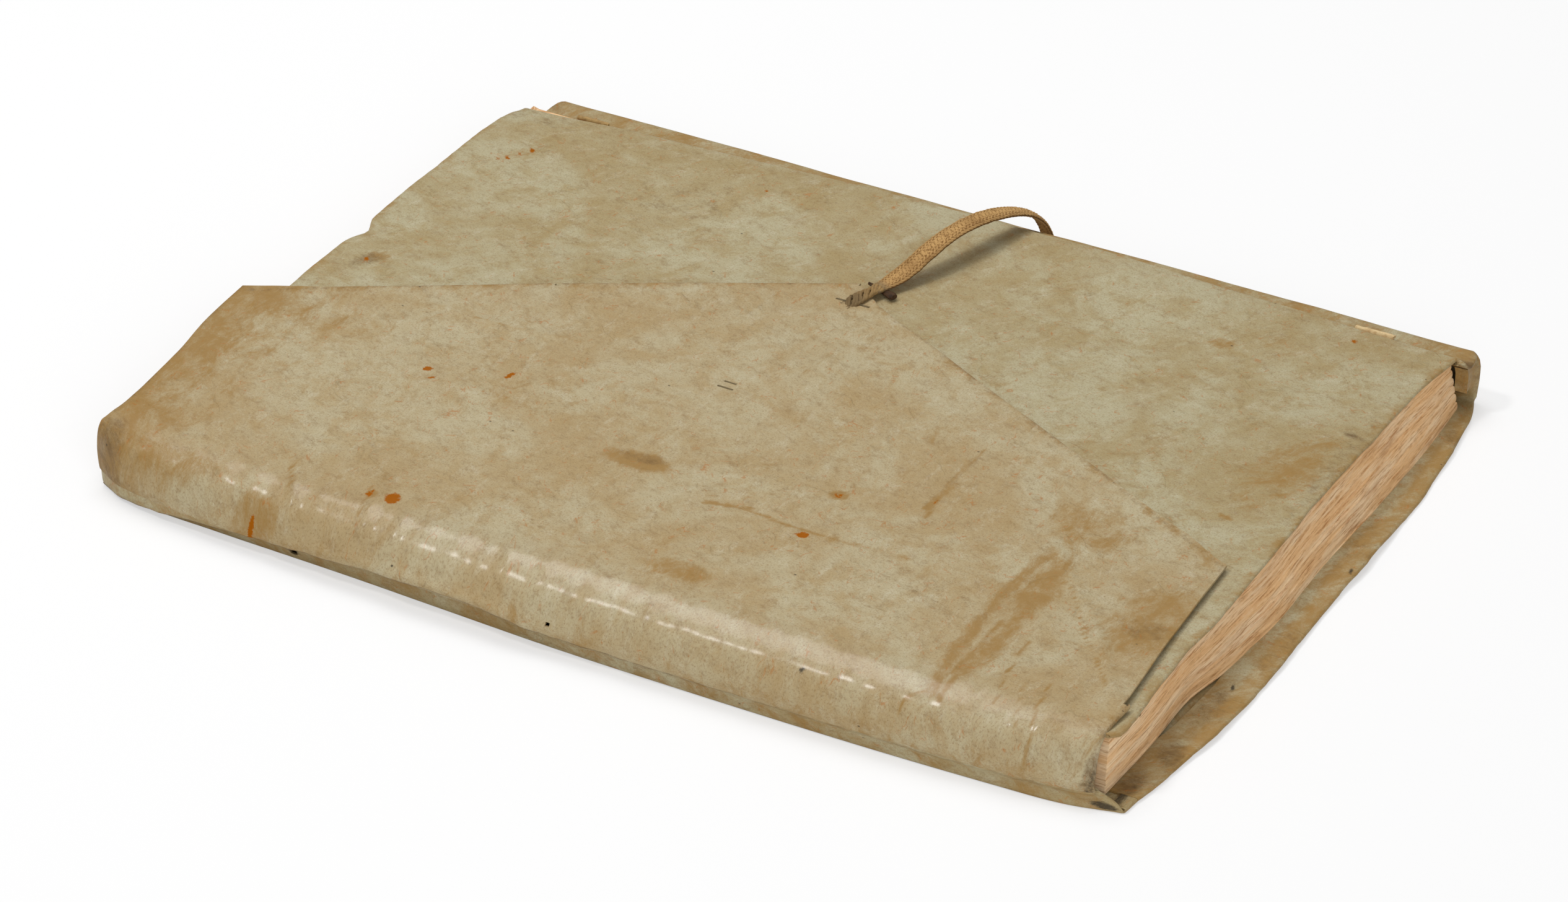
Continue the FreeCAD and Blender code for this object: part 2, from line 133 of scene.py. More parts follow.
# %% [markdown]
# ## Table and light
#
# The book lies on a white table under a large soft lamp that hangs almost overhead, with a
# weaker one in front. The table adds a little of its own white for the camera only, so
# that it fades into a white background and keeps a pale shadow.

# %% Table
TABLE_SIZE = 6.0
TABLE_WHITE = (0.94, 0.94, 0.94, 1.0)
OWN_WHITE_SHARE = 0.50

bpy.ops.mesh.primitive_plane_add(size=TABLE_SIZE, location=(0, 0, 0))
table = bpy.context.active_object
table.name = "table"
table_paint = bpy.data.materials.new("white table")
table_paint.use_nodes = True
tree = table_paint.node_tree
tree.nodes.clear()
diffuse = tree.nodes.new("ShaderNodeBsdfDiffuse")
diffuse.inputs["Color"].default_value = TABLE_WHITE
own_white = tree.nodes.new("ShaderNodeEmission")
own_white.inputs["Strength"].default_value = 1.0
ray = tree.nodes.new("ShaderNodeLightPath")
share = tree.nodes.new("ShaderNodeMath")
share.operation = "MULTIPLY"
share.inputs[1].default_value = OWN_WHITE_SHARE
blend = tree.nodes.new("ShaderNodeMixShader")
surface = tree.nodes.new("ShaderNodeOutputMaterial")
tree.links.new(ray.outputs["Is Camera Ray"], share.inputs[0])
tree.links.new(share.outputs[0], blend.inputs["Fac"])
tree.links.new(diffuse.outputs[0], blend.inputs[1])
tree.links.new(own_white.outputs[0], blend.inputs[2])
tree.links.new(blend.outputs[0], surface.inputs["Surface"])
table.data.materials.append(table_paint)
print("table width m", TABLE_SIZE)

# %% Lamps and background
LAMPS = [
    ("overhead", (-0.35, 0.45, 1.60), 1.1, 14.5),
    ("ridge", (-0.75, -0.56, 1.60), 0.22, 8.0),
    ("front", (1.00, -1.20, 0.80), 1.2, 10.0),
]
AMBIENT = 0.29

for name, place, size, power in LAMPS:
    aim = (-Vector(place)).to_track_quat("-Z", "Y").to_euler()
    bpy.ops.object.light_add(type="AREA", location=place, rotation=aim)
    lamp = bpy.context.active_object
    lamp.name = name
    lamp.data.size = size
    lamp.data.energy = power

world = bpy.data.worlds.new("white room")
world.use_nodes = True
bpy.context.scene.world = world
nodes, links = world.node_tree.nodes, world.node_tree.links
nodes.clear()
room = nodes.new("ShaderNodeBackground")
room.inputs["Strength"].default_value = AMBIENT
backdrop = nodes.new("ShaderNodeBackground")
backdrop.inputs["Color"].default_value = (1, 1, 1, 1)
seen = nodes.new("ShaderNodeLightPath")
choose = nodes.new("ShaderNodeMixShader")
sky = nodes.new("ShaderNodeOutputWorld")
room.inputs["Color"].default_value = (1, 1, 1, 1)
links.new(seen.outputs["Is Camera Ray"], choose.inputs["Fac"])
links.new(room.outputs[0], choose.inputs[1])
links.new(backdrop.outputs[0], choose.inputs[2])
links.new(choose.outputs[0], sky.inputs["Surface"])
bpy.context.scene.view_settings.view_transform = "Standard"
print("lamps", [lamp[0] for lamp in LAMPS])

# %% [markdown]
# ## Helpers for folding a flat skin
#
# Vellum is a flat sheet that someone folded, so each skin here starts as a flat grid and is
# then folded: every vertex moves from its flat place to its folded one. The flat places are
# kept as a UV map in metres, so that grain and stains run on round each fold.

# %% Tables and lines
def clamp(value, low=0.0, high=1.0):
    return max(low, min(high, value))


def mix(a, b, share):
    return a + (b - a) * share


def ease(share):
    """From 0 to 1 with a soft start and end."""
    share = clamp(share)
    return share * share * (3.0 - 2.0 * share)


def soft_value(table, at):
    """A smooth value between the rows of a table of (place, value)."""
    if at <= table[0][0]:
        return table[0][1]
    for index in range(len(table) - 1):
        (a, value_a), (b, value_b) = table[index], table[index + 1]
        if at <= b:
            before = table[max(index - 1, 0)]
            after = table[min(index + 2, len(table) - 1)]
            t = (at - a) / (b - a)
            slope_a = (value_b - before[1]) / (b - before[0]) * (b - a)
            slope_b = (after[1] - value_a) / (after[0] - a) * (b - a)
            rise = value_b - value_a
            bend = (slope_a + slope_b - 2.0 * rise) * t + (3.0 * rise - 2.0 * slope_a - slope_b)
            return value_a + t * (slope_a + t * bend)
    return table[-1][1]


def rounded_line(corners, radii, steps=6):
    """Points along straight runs whose corners are rounded."""
    points = [Vector(corners[0])]
    for before, corner, after, radius in zip(corners, corners[1:], corners[2:], radii):
        before, corner, after = Vector(before), Vector(corner), Vector(after)
        into, out = (corner - before).normalized(), (after - corner).normalized()
        reach = radius * math.tan(into.angle(out) / 2.0)
        first, last = corner - into * reach, corner + out * reach
        for step in range(steps + 1):
            t = step / steps
            points.append(first * (1 - t) ** 2 + corner * (2 * t * (1 - t)) + last * t * t)
    points.append(Vector(corners[-1]))
    return points


def distances_along(points):
    """How far along a line each of its points is."""
    total, distances = 0.0, [0.0]
    for start, end in zip(points, points[1:]):
        total += (end - start).length
        distances.append(total)
    return distances


def walk(points, distances, at):
    """The place on a line and its direction, at a distance along it."""
    index = clamp(bisect.bisect_right(distances, at) - 1, 0, len(points) - 2)
    span = distances[index + 1] - distances[index]
    share = (at - distances[index]) / span
    place = points[index].lerp(points[index + 1], share)
    here = (points[index + 1] - points[index]).normalized()
    before = (points[index] - points[max(index - 1, 0)]) or here
    last = len(points) - 1
    after = (points[min(index + 2, last)] - points[min(index + 1, last - 1)]) or here
    if share < 0.5:
        direction = before.normalized().lerp(here, 0.5 + share)
    else:
        direction = here.lerp(after.normalized(), share - 0.5)
    return place, direction.normalized()


def places_between(stops, step):
    """Every stop, and evenly spaced places between them."""
    places = [stops[0]]
    for start, end in zip(stops, stops[1:]):
        count = max(1, math.ceil((end - start) / step))
        places += [start + (end - start) * (i + 1) / count for i in range(count)]
    return places


# %% Flat sheets and folding
def choose_only(obj):
    bpy.ops.object.select_all(action="DESELECT")
    obj.select_set(True)
    bpy.context.view_layer.objects.active = obj


def flat_grid(name, columns, rows):
    """A flat sheet whose grid lines lie at the given places, in millimetres."""
    bpy.ops.object.select_all(action="DESELECT")
    across, along = len(columns) - 1, len(rows) - 1
    bpy.ops.mesh.primitive_grid_add(x_subdivisions=across, y_subdivisions=along, size=2.0)
    sheet = bpy.context.active_object
    sheet.name = name
    for vertex in sheet.data.vertices:
        column = round((vertex.co.x + 1.0) / 2.0 * across)
        row = round((vertex.co.y + 1.0) / 2.0 * along)
        vertex.co = (columns[column], rows[row], 0.0)
    return sheet


def fold(sheet, place, flat=None):
    """Keep the flat places as a UV map in metres, then move each vertex to its fold."""
    mesh = sheet.data
    flat_places = [(v.co.x, v.co.y) if flat is None else flat(v.co.x, v.co.y) for v in mesh.vertices]
    uv = mesh.uv_layers[0]
    uv.name = "flat"
    for loop in mesh.loops:
        x, y = flat_places[loop.vertex_index]
        uv.data[loop.index].uv = (x * MM, y * MM)
    for vertex in mesh.vertices:
        vertex.co = Vector(place(vertex.co.x, vertex.co.y)) * MM
    mesh.update()


def modifier(obj, kind, **settings):
    """Add a modifier, set it and apply it."""
    choose_only(obj)
    bpy.ops.object.modifier_add(type=kind)
    made = obj.modifiers[-1]
    for key, value in settings.items():
        setattr(made, key, value)
    bpy.ops.object.modifier_apply(modifier=made.name)


def thicken(obj, thickness):
    """Give a skin its thickness on its inner side."""
    modifier(obj, "SOLIDIFY", thickness=thickness * MM, offset=-1.0, use_even_offset=False)


def cut_slits(sheet, slits):
    """Cut small openings through a sheet with thin blades, all in one go."""
    blades = []
    for place, size in slits:
        bpy.ops.mesh.primitive_cube_add(size=1.0, location=Vector(place) * MM)
        blade = bpy.context.active_object
        blade.scale = Vector(size) * MM
        bpy.ops.object.transform_apply(location=True, rotation=True, scale=True)
        blades.append(blade)
    bpy.ops.object.select_all(action="DESELECT")
    for blade in blades:
        blade.select_set(True)
    bpy.context.view_layer.objects.active = blades[0]
    if len(blades) > 1:
        bpy.ops.object.join()
    modifier(sheet, "BOOLEAN", object=blades[0], operation="DIFFERENCE", solver="EXACT")
    bpy.data.objects.remove(blades[0])


def turn_over(obj):
    """Make the faces of an open sheet look the other way."""
    choose_only(obj)
    bpy.ops.object.mode_set(mode="EDIT")
    bpy.ops.mesh.select_all(action="SELECT")
    bpy.ops.mesh.flip_normals()
    bpy.ops.object.mode_set(mode="OBJECT")


def smooth(obj, angle=50.0):
    choose_only(obj)
    bpy.ops.object.shade_smooth_by_angle(angle=math.radians(angle))


def wave(x, y, size, seed=0.0):
    """Soft random height from -1 to 1, with features of about the given size."""
    return noise.noise(Vector((x / size, y / size, seed)))


# %% [markdown]
# ## Helpers for materials
#
# A finish is a tree of nodes. The recipe class adds one node at a time and links what it is
# given, so that a material reads from top to bottom like a list of coats of paint.

# %% Recipes
def paint(red, green, blue):
    """A colour as it looks on a screen, 0 to 255, made linear for the shader."""
    def linear(value):
        value /= 255.0
        return value / 12.92 if value <= 0.04045 else ((value + 0.055) / 1.055) ** 2.4
    return (linear(red), linear(green), linear(blue), 1.0)


class Recipe:
    def __init__(self, name):
        self.material = bpy.data.materials.new(name)
        self.material.use_nodes = True
        self.tree = self.material.node_tree
        self.tree.nodes.clear()
        output = self.tree.nodes.new("ShaderNodeOutputMaterial")
        self.shader = self.tree.nodes.new("ShaderNodeBsdfPrincipled")
        self.tree.links.new(self.shader.outputs[0], output.inputs["Surface"])

    def feed(self, socket, value):
        if isinstance(value, bpy.types.NodeSocket):
            self.tree.links.new(value, socket)
        else:
            socket.default_value = value

    def node(self, kind, inputs, result=0, **settings):
        made = self.tree.nodes.new(kind)
        for key, value in settings.items():
            setattr(made, key, value)
        for key, value in inputs.items():
            self.feed(made.inputs[key], value)
        return made.outputs[result]

    def flat(self, stretch=(1.0, 1.0, 1.0), turned=0.0, moved=(0.0, 0.0, 0.0)):
        """Places on the flat skin, in metres, stretched along a direction."""
        places = self.node("ShaderNodeUVMap", {}, uv_map="flat")
        turned_places = self.node("ShaderNodeMapping", {
            "Vector": places, "Rotation": (0.0, 0.0, turned), "Location": moved})
        return self.node("ShaderNodeMapping", {"Vector": turned_places, "Scale": stretch})

    def solid(self, stretch=(1.0, 1.0, 1.0)):
        """Places in the object itself, in metres."""
        places = self.node("ShaderNodeTexCoord", {}, "Object")
        return self.node("ShaderNodeMapping", {"Vector": places, "Scale": stretch})

    def noise(self, places, size, detail=4.0, roughness=0.55, distortion=0.0):
        """Cloudy noise whose features are about the given size in millimetres."""
        return self.node("ShaderNodeTexNoise", {
            "Vector": places, "Scale": 1.0 / (size * MM), "Detail": detail,
            "Roughness": roughness, "Distortion": distortion})

    def between(self, value, low, high, result_low=0.0, result_high=1.0):
        """Stretch a range of values softly to another range."""
        return self.node("ShaderNodeMapRange", {
            "Value": value, "From Min": low, "From Max": high,
            "To Min": result_low, "To Max": result_high}, interpolation_type="SMOOTHSTEP")

    def sum(self, operation, a, b=0.0):
        return self.node("ShaderNodeMath", {0: a, 1: b}, operation=operation)

    def coat(self, under, over, share, mode="MIX"):
        """One colour laid over another where the share says."""
        made = self.tree.nodes.new("ShaderNodeMix")
        made.data_type = "RGBA"
        made.blend_type = mode
        self.feed(made.inputs[0], share)
        self.feed(made.inputs[6], under)
        self.feed(made.inputs[7], over)
        return made.outputs[2]

    def specks(self, places, spacing, size, share):
        """Small spots in a few of the cells of a random pattern."""
        made = self.tree.nodes.new("ShaderNodeTexVoronoi")
        self.feed(made.inputs["Vector"], places)
        self.feed(made.inputs["Scale"], 1.0 / (spacing * MM))
        dot = self.between(made.outputs["Distance"], size / spacing, 0.5 * size / spacing)
        parts = self.tree.nodes.new("ShaderNodeSeparateColor")
        self.feed(parts.inputs[0], made.outputs["Color"])
        chosen = self.sum("LESS_THAN", parts.outputs[0], share)
        return self.sum("MULTIPLY", dot, chosen)

    def lines(self, places, size, width, mask):
        """Thin wandering lines, broken up by another noise."""
        wander = self.noise(places, size, 3.0, 0.55, 0.3)
        off = self.sum("ABSOLUTE", self.sum("SUBTRACT", wander, 0.5))
        line = self.between(off, width, 0.2 * width)
        return self.sum("MULTIPLY", line, self.between(mask, 0.50, 0.60))

    def wobble(self, places, size, amount):
        """Push places about by noise, so that what is drawn there gets ragged."""
        push = self.node("ShaderNodeTexNoise", {
            "Vector": places, "Scale": 1.0 / (size * MM), "Detail": 3.0}, "Color")
        push = self.node("ShaderNodeVectorMath", {0: push, 1: (-0.5, -0.5, -0.5)}, operation="ADD")
        push = self.node("ShaderNodeVectorMath", {0: push, "Scale": amount * MM}, operation="SCALE")
        return self.node("ShaderNodeVectorMath", {0: places, 1: push}, operation="ADD")

    def painted(self, name):
        """A value kept on the vertices."""
        return self.node("ShaderNodeAttribute", {}, "Fac", attribute_name=name)

    def bump(self, height, distance, strength=1.0, under=None):
        inputs = {"Height": height, "Distance": distance * MM, "Strength": strength}
        if under is not None:
            inputs["Normal"] = under
        return self.node("ShaderNodeBump", inputs)

    def finish(self, colour, roughness, normal, **settings):
        self.feed(self.shader.inputs["Base Color"], colour)
        self.feed(self.shader.inputs["Roughness"], roughness)
        self.feed(self.shader.inputs["Normal"], normal)
        for key, value in settings.items():
            self.feed(self.shader.inputs[key.replace("_", " ")], value)
        return self.material


# %% [markdown]
# ## Vellum
#
# Vellum is scraped and stretched skin. It is mottled where hair and veins were, streaked by
# the knife, rubbed darker at its edges and shiny where hands polished the fore-edge. The
# finish lays those coats one over the other. Large stains and worn edges are painted on the
# vertices, together with painted shade along the fore-edge crease and in the joint valley and a
# painted shadow along the table, and the fine grain comes from noise on the flat map.

# %% Vellum finish
GREY_GREEN = paint(182, 173, 140)
OLIVE_TAN = paint(164, 143, 98)
FLAP_PALE = paint(185, 172, 138)
FLAP_TAN = paint(171, 146, 102)
FIBRE_BROWN = paint(136, 106, 62)
OCHRE = paint(154, 119, 62)
UMBER = paint(100, 74, 40)
ORANGE = paint(170, 104, 34)
RUST = paint(158, 86, 0)
SOOT_AND_SHADE = paint(52, 42, 27)
CHALK = paint(206, 199, 174)


def vellum(name, pale, deep, seed, grain_turn, shine=0.0):
    """Old vellum. The seed moves the pattern, and shine is what polish takes off the roughness."""
    recipe = Recipe(name)
    flat = recipe.flat(moved=(seed, seed * 0.37, 0.0))
    streaked = recipe.flat((0.62, 1.0, 1.0), grain_turn, (seed, 0.0, 0.0))
    crossed = recipe.flat((0.60, 1.0, 1.0), grain_turn + 1.1, (seed, 0.7, 0.0))
    clouds = recipe.noise(flat, 42.0, 5.0, 0.62, 0.6)
    colour = recipe.coat(pale, deep, recipe.between(clouds, 0.40, 0.62, 0.0, 0.75))
    mottle = recipe.noise(flat, 13.0, 8.0, 0.74, 0.5)
    colour = recipe.coat(colour, deep, recipe.between(mottle, 0.44, 0.64, 0.0, 0.70))
    patches = recipe.noise(crossed, 8.0, 9.0, 0.80, 0.4)
    colour = recipe.coat(colour, OCHRE, recipe.between(patches, 0.52, 0.72, 0.0, 0.46))
    brown = recipe.noise(streaked, 4.2, 9.0, 0.88, 0.25)
    colour = recipe.coat(colour, FIBRE_BROWN, recipe.between(brown, 0.48, 0.68, 0.0, 0.58))
    chalky = recipe.noise(crossed, 6.0, 9.0, 0.88, 0.25)
    colour = recipe.coat(colour, CHALK, recipe.between(chalky, 0.50, 0.68, 0.0, 0.42))
    fibres = recipe.noise(streaked, 1.1, 6.0, 0.88)
    colour = recipe.coat(colour, UMBER, recipe.between(fibres, 0.53, 0.68, 0.0, 0.42))
    pores = recipe.noise(flat, 0.50, 3.0, 0.75)
    colour = recipe.coat(colour, FIBRE_BROWN, recipe.between(pores, 0.52, 0.64, 0.0, 0.50))
    ragged = recipe.between(patches, 0.3, 0.7, -0.34, 0.34)
    ochre_edge = recipe.sum("ADD", recipe.painted("ochre"), ragged)
    colour = recipe.coat(colour, OCHRE, recipe.between(ochre_edge, 0.20, 0.85, 0.0, 0.88))
    # The dark value holds stains and worn edges, and painted shade along the crease and in the joint
    # valley.
    ragged = recipe.between(brown, 0.3, 0.7, -0.24, 0.24)
    dark_edge = recipe.sum("ADD", recipe.painted("dark"), ragged)
    colour = recipe.coat(colour, UMBER, recipe.between(dark_edge, 0.12, 0.90, 0.0, 0.84))
    smudges = recipe.noise(flat, 4.6, 6.0, 0.72, 0.5)
    colour = recipe.coat(colour, ORANGE, recipe.between(smudges, 0.63, 0.74, 0.0, 0.60))
    for turned, seen in ((0.5, 0.46), (2.3, 0.50), (-0.4, 0.30)):
        strokes = recipe.flat((0.22, 1.0, 1.0), grain_turn + turned, (seed + turned, 0.0, 0.0))
        hairs = recipe.specks(recipe.wobble(strokes, 1.4, 0.9), 1.9, 0.36, 0.34)
        hairs = recipe.sum("MULTIPLY", hairs, recipe.between(smudges, 0.46, 0.62, 0.0, seen))
        colour = recipe.coat(colour, ORANGE, hairs)
    scratches = recipe.lines(crossed, 9.0, 0.010, smudges)
    colour = recipe.coat(colour, ORANGE, recipe.sum("MULTIPLY", scratches, 0.5))
    ragged = recipe.between(fibres, 0.3, 0.7, -0.25, 0.25)
    rust_edge = recipe.sum("ADD", recipe.painted("rust"), ragged)
    rusty = recipe.between(rust_edge, 0.35, 0.60, 0.0, 0.95)
    colour = recipe.coat(colour, RUST, rusty)
    gloss = recipe.sum("SUBTRACT", 0.25, recipe.sum("MULTIPLY", rusty, 0.25))
    flecks = recipe.specks(recipe.flat((1.0, 1.6, 1.0), moved=(seed + 3.1, 0.0, 0.0)), 13.0, 0.50, 0.5)
    colour = recipe.coat(colour, SOOT_AND_SHADE, recipe.sum("MULTIPLY", flecks, 0.8))
    # The soot value holds soot marks and a painted shadow where the lip meets the table.
    soot_and_shade_mask = recipe.sum("ADD", recipe.painted("soot_and_shade"), ragged)
    colour = recipe.coat(colour, SOOT_AND_SHADE, recipe.between(soot_and_shade_mask, 0.15, 0.75, 0.0, 0.9))
    polish = recipe.painted("polish")
    lumps = recipe.noise(flat, 3.4, 4.0, 0.62)
    polished = recipe.sum("MULTIPLY", polish, 4.0 * shine)
    crinkle = recipe.sum("MULTIPLY", recipe.noise(flat, 2.3, 3.0, 0.6), polished)
    height = recipe.sum("ADD", recipe.sum("MULTIPLY", lumps, 0.8), recipe.sum("MULTIPLY", fibres, 0.28))
    cracks = recipe.sum("MULTIPLY", recipe.lines(streaked, 26.0, 0.008, mottle), 0.35)
    height = recipe.sum("SUBTRACT", height, cracks)
    height = recipe.sum("ADD", height, crinkle)
    normal = recipe.bump(height, 0.60, 0.6)
    dull = recipe.between(mottle, 0.35, 0.65, 0.50, 0.62)
    roughness = recipe.sum("SUBTRACT", dull, recipe.sum("MULTIPLY", polish, shine))
    coated = recipe.sum("MULTIPLY", polish, 1.5 * shine)
    return recipe.finish(colour, roughness, normal, Specular_IOR_Level=gloss, Coat_Weight=coated,
                         Coat_Roughness=0.16)


def keep_on_vertices(obj, name, values):
    """Store one number per vertex for the material to read."""
    layer = obj.data.attributes.new(name, "FLOAT", "POINT")
    layer.data.foreach_set("value", values)


def blotch(x, y, marks):
    """The strongest of some soft stains: each has a place, a reach, a turn and a strength."""
    strongest = 0.0
    for at_x, at_y, long, short, degrees, strength in marks:
        turned = math.radians(degrees)
        along = (x - at_x) * math.cos(turned) + (y - at_y) * math.sin(turned)
        across = (y - at_y) * math.cos(turned) - (x - at_x) * math.sin(turned)
        far = math.hypot(along / long, across / short)
        strongest = max(strongest, strength * (1.0 - ease((far - 0.35) / 0.9)))
    return strongest


print("vellum finish ready")

# %% [markdown]
# ## Lower cover, spine wall and front cover
#
# One sheet runs from the fore-edge under the leaves, up the spine and back over the top. It
# could be three slabs, but then its folds would be hard corners. Instead its section is one
# rounded line, and the flat grid is folded along it. The grid is wider than the book by the
# turned-in edges, which fold round a small radius and come back inside.

# %% Section of the wrap
leaves_low, leaves_high = (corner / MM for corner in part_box("text_block"))
case_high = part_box("vellum_case")[1] / MM
SKIN = 0.62
RIM = 0.66
TURN_IN = 13.0
COVER_TOP = case_high.z
SPINE_OUT = case_high.y
JOINT_Y = leaves_high.y
FORE_SEAM = -105.0
STRIP_TOP = COVER_TOP - 0.8
COVER_END = leaves_low.y - 0.6

case_line = rounded_line(
    [(FORE_SEAM, 0.0), (SPINE_OUT - 2.4, 0.0), (SPINE_OUT, STRIP_TOP), (JOINT_Y + 1.3, STRIP_TOP - 1.1),
     (JOINT_Y + 0.2, COVER_TOP), (COVER_END, COVER_TOP)],
    [2.4, 2.6, 0.4, 0.9])
case_stops = distances_along(case_line)
print("wrap length mm", round(case_stops[-1], 1))

# %% Ends of the wrap
# Rows of (y, x) in millimetres: where the lower and the front cover end at head and tail.
LOWER_TAIL = [(-111, 158.6), (-88, 162.7), (-62, 166.2), (-35, 167.1), (-2, 166.9), (27, 167.8),
              (64, 167.6), (77, 166.7), (101, 164.5), (109, 162.8), (118, 159.8)]
LOWER_HEAD = [(-111, -157.5), (-104, -159.8), (-60, -161.6), (0, -162.2), (70, -159.6), (100, -156.8),
              (109, -154.6), (118, -147.5)]
FRONT_TAIL = [(-105, 150.6), (-102.5, 153.2), (-96, 153.2), (-74, 152.3), (-60, 152.0), (-42, 153.0),
              (-26, 152.6), (-8, 152.9), (18, 152.4), (53, 153.2), (83, 153.8), (94, 155.0),
              (107, 156.6)]
FRONT_HEAD = [(-105, -156.6), (-20, -156.9), (8, -156.9), (13, -155.8), (17.5, -153.6), (20, -154.4),
              (26, -156.6), (60, -156.2), (92, -155.4), (103, -154.0), (107, -152.4)]
SPINE_ENDS = (-147.0, 161.2)
SPINE_FROM = 2.5
CORNER_DROP = 2.6
BROAD_WANDER = 0.42
FINE_WANDER = 0.14


def case_ends(y, z):
    """Where the skin ends at head and tail, at a place on its section."""
    if z < SPINE_FROM and y < SPINE_OUT:
        share = ease(z / SPINE_FROM)
        ends = soft_value(LOWER_HEAD, y), soft_value(LOWER_TAIL, y)
    else:
        share = ease((y - JOINT_Y + 0.6) / 2.4)
        ends = soft_value(FRONT_HEAD, y), soft_value(FRONT_TAIL, y)
    from_corner = math.hypot(y - SPINE_OUT, z - STRIP_TOP)
    rounding = CORNER_DROP * math.exp(-((from_corner / 2.8) ** 2))
    head = mix(ends[0], SPINE_ENDS[0], share) + rounding
    tail = mix(ends[1], SPINE_ENDS[1], share) - rounding
    return [end + BROAD_WANDER * wave(y, z, 13.0, seed) + FINE_WANDER * wave(y, z, 3.4, seed)
            for end, seed in ((head, 3.0), (tail, 4.0))]


# %% Gentle relief of the covers
TIE_START = Vector(TIE_POINTS[0]) / MM


# How far the joint moves towards the spine, and how far the cover rises there, along X.
JOINT_OUT = [(-150, -3.4), (-138, -2.6), (-129, -1.6), (-118, -0.6), (-98, 0.2), (-71, 1.2),
             (-51, 2.2), (-10, 3.0), (45, 3.2), (58, 2.8), (83, 1.9), (109, 1.2), (130, 0.4), (160, 0.0)]
JOINT_RISE = [(-140, 0.0), (-110, 0.2), (-60, 0.8), (-20, 1.2), (40, 1.3), (70, 0.9), (110, 0.5),
              (150, 0.0)]


def bend_joint(x, y, z):
    """Bow the joint: the cover reaches further over the spine strip in the middle."""
    if z < SPINE_FROM or y > SPINE_OUT - 2.5:
        return y, z
    out, rise = soft_value(JOINT_OUT, x), soft_value(JOINT_RISE, x)
    on_cover = ease((y - JOINT_Y + 40.0) / 40.0)
    on_strip = 1.0 - ease((y - JOINT_Y - 1.4) / (SPINE_OUT - 2.5 - JOINT_Y - 1.4))
    rise *= 1.0 - ease((y - JOINT_Y) / 1.2)
    return y + out * on_cover * on_strip, z + rise * on_cover


def swell(x, y):
    """How far the front cover and the flap stand up from dead flat, in millimetres."""
    clear = ease((math.hypot(x - TIE_START.x, y - TIE_START.y) - 12.0) / 30.0)
    broad = 0.45 + 0.55 * wave(x, y, 85.0, 1.5) + 0.30 * wave(x, y, 34.0, 4.5)
    return clear * clamp(broad, 0.0, 1.4)


def cover_relief(x, y, z):
    """Height along the outer normal: the covers ripple, and the spine wall bulges a little."""
    fine = 0.10 * wave(x, y + z, 14.0, 8.0) + 0.04 * wave(x, y + z, 5.0, 9.0)
    if z > COVER_TOP - 0.5 and y < JOINT_Y:
        near_joint = ease((JOINT_Y - y) / 12.0)
        return near_joint * (swell(x, y) + fine)
    if z < SPINE_FROM:
        return 0.0
    return 0.45 * wave(x, z * 2.0, 42.0, 2.0) + fine


# %% Fold the wrap
RIM_TURN = math.pi * RIM
PANEL_WIDTH = 8.0


def closing_panel(beyond):
    """The same for the spine wall, whose turned-in end stands across the gap to the leaves."""
    if beyond < RIM_TURN / 2.0:
        return RIM * math.sin(beyond / RIM), RIM * (1.0 - math.cos(beyond / RIM))
    across = beyond - RIM_TURN / 2.0
    share = min(across / PANEL_WIDTH, 1.0)
    back = 0.9 * math.sin(math.pi * share) + 0.5 * share + max(0.0, across - PANEL_WIDTH)
    return RIM - back, RIM + share * PANEL_WIDTH


def round_rim(beyond):
    """How far past the rim's centre line a column comes, and how far it drops behind the skin."""
    angle = min(beyond / RIM, math.pi)
    reach = RIM * math.sin(angle) - max(0.0, beyond - RIM_TURN)
    return reach, RIM * (1.0 - math.cos(angle))


beyond_steps = [TURN_IN, 11.0, 9.0, 8.0, 6.8, 5.5, 4.4, 3.2, RIM_TURN, 0.8 * RIM_TURN, 0.6 * RIM_TURN,
                0.4 * RIM_TURN, 0.2 * RIM_TURN]
inner_steps = places_between([0.0, 0.01, 0.99, 1.0], 1.0 / 150.0)
case_columns = ([("head", b) for b in beyond_steps] + [("inner", f) for f in inner_steps]
                + [("tail", b) for b in beyond_steps[::-1]])
case_rows = places_between(case_stops, 2.1)


def case_flat(column, s):
    """Where a grid column lies on the flat skin."""
    kind, amount = case_columns[round(column)]
    centre, _ = walk(case_line, case_stops, s)
    head, tail = case_ends(*centre)
    if kind == "inner":
        return mix(head + RIM, tail - RIM, amount), s
    return (head + RIM - amount, s) if kind == "head" else (tail - RIM + amount, s)


def case_place(column, s):
    """The folded place of a grid column at a distance along the section."""
    kind, amount = case_columns[round(column)]
    centre, along = walk(case_line, case_stops, s)
    head, tail = case_ends(*centre)
    outward = Vector((0.0, along.y, -along.x))
    drop = 0.0
    if kind == "inner":
        x = mix(head + RIM, tail - RIM, amount)
    else:
        reach, drop = round_rim(amount)
        on_wall = ease((centre.y - 3.0) / 2.0) * ease((centre.x - SPINE_OUT + 4.0) / 1.5)
        on_wall *= 1.0 - ease((centre.y - STRIP_TOP + 3.0) / 2.0)
        panel_reach, panel_drop = closing_panel(amount)
        reach, drop = mix(reach, panel_reach, on_wall), mix(drop, panel_drop, on_wall)
        x = head + RIM - reach if kind == "head" else tail - RIM + reach
    lift = cover_relief(x, *centre)
    if centre.y < SPINE_FROM and centre.x < SPINE_OUT - 6.0:
        out = max(x - 155.0, -157.0 - x, 0.0)
        lift = -0.11 * out * ease(0.5 + wave(centre.x, x, 40.0, 5.0))
    y, z = bend_joint(x, *centre)
    return Vector((x, y, z)) + outward * (lift - drop)


case = flat_grid("vellum_wrap", list(range(len(case_columns))), case_rows)
fold(case, case_place, case_flat)
turn_over(case)
thicken(case, SKIN)
smooth(case)
print("wrap faces", len(case.data.polygons))
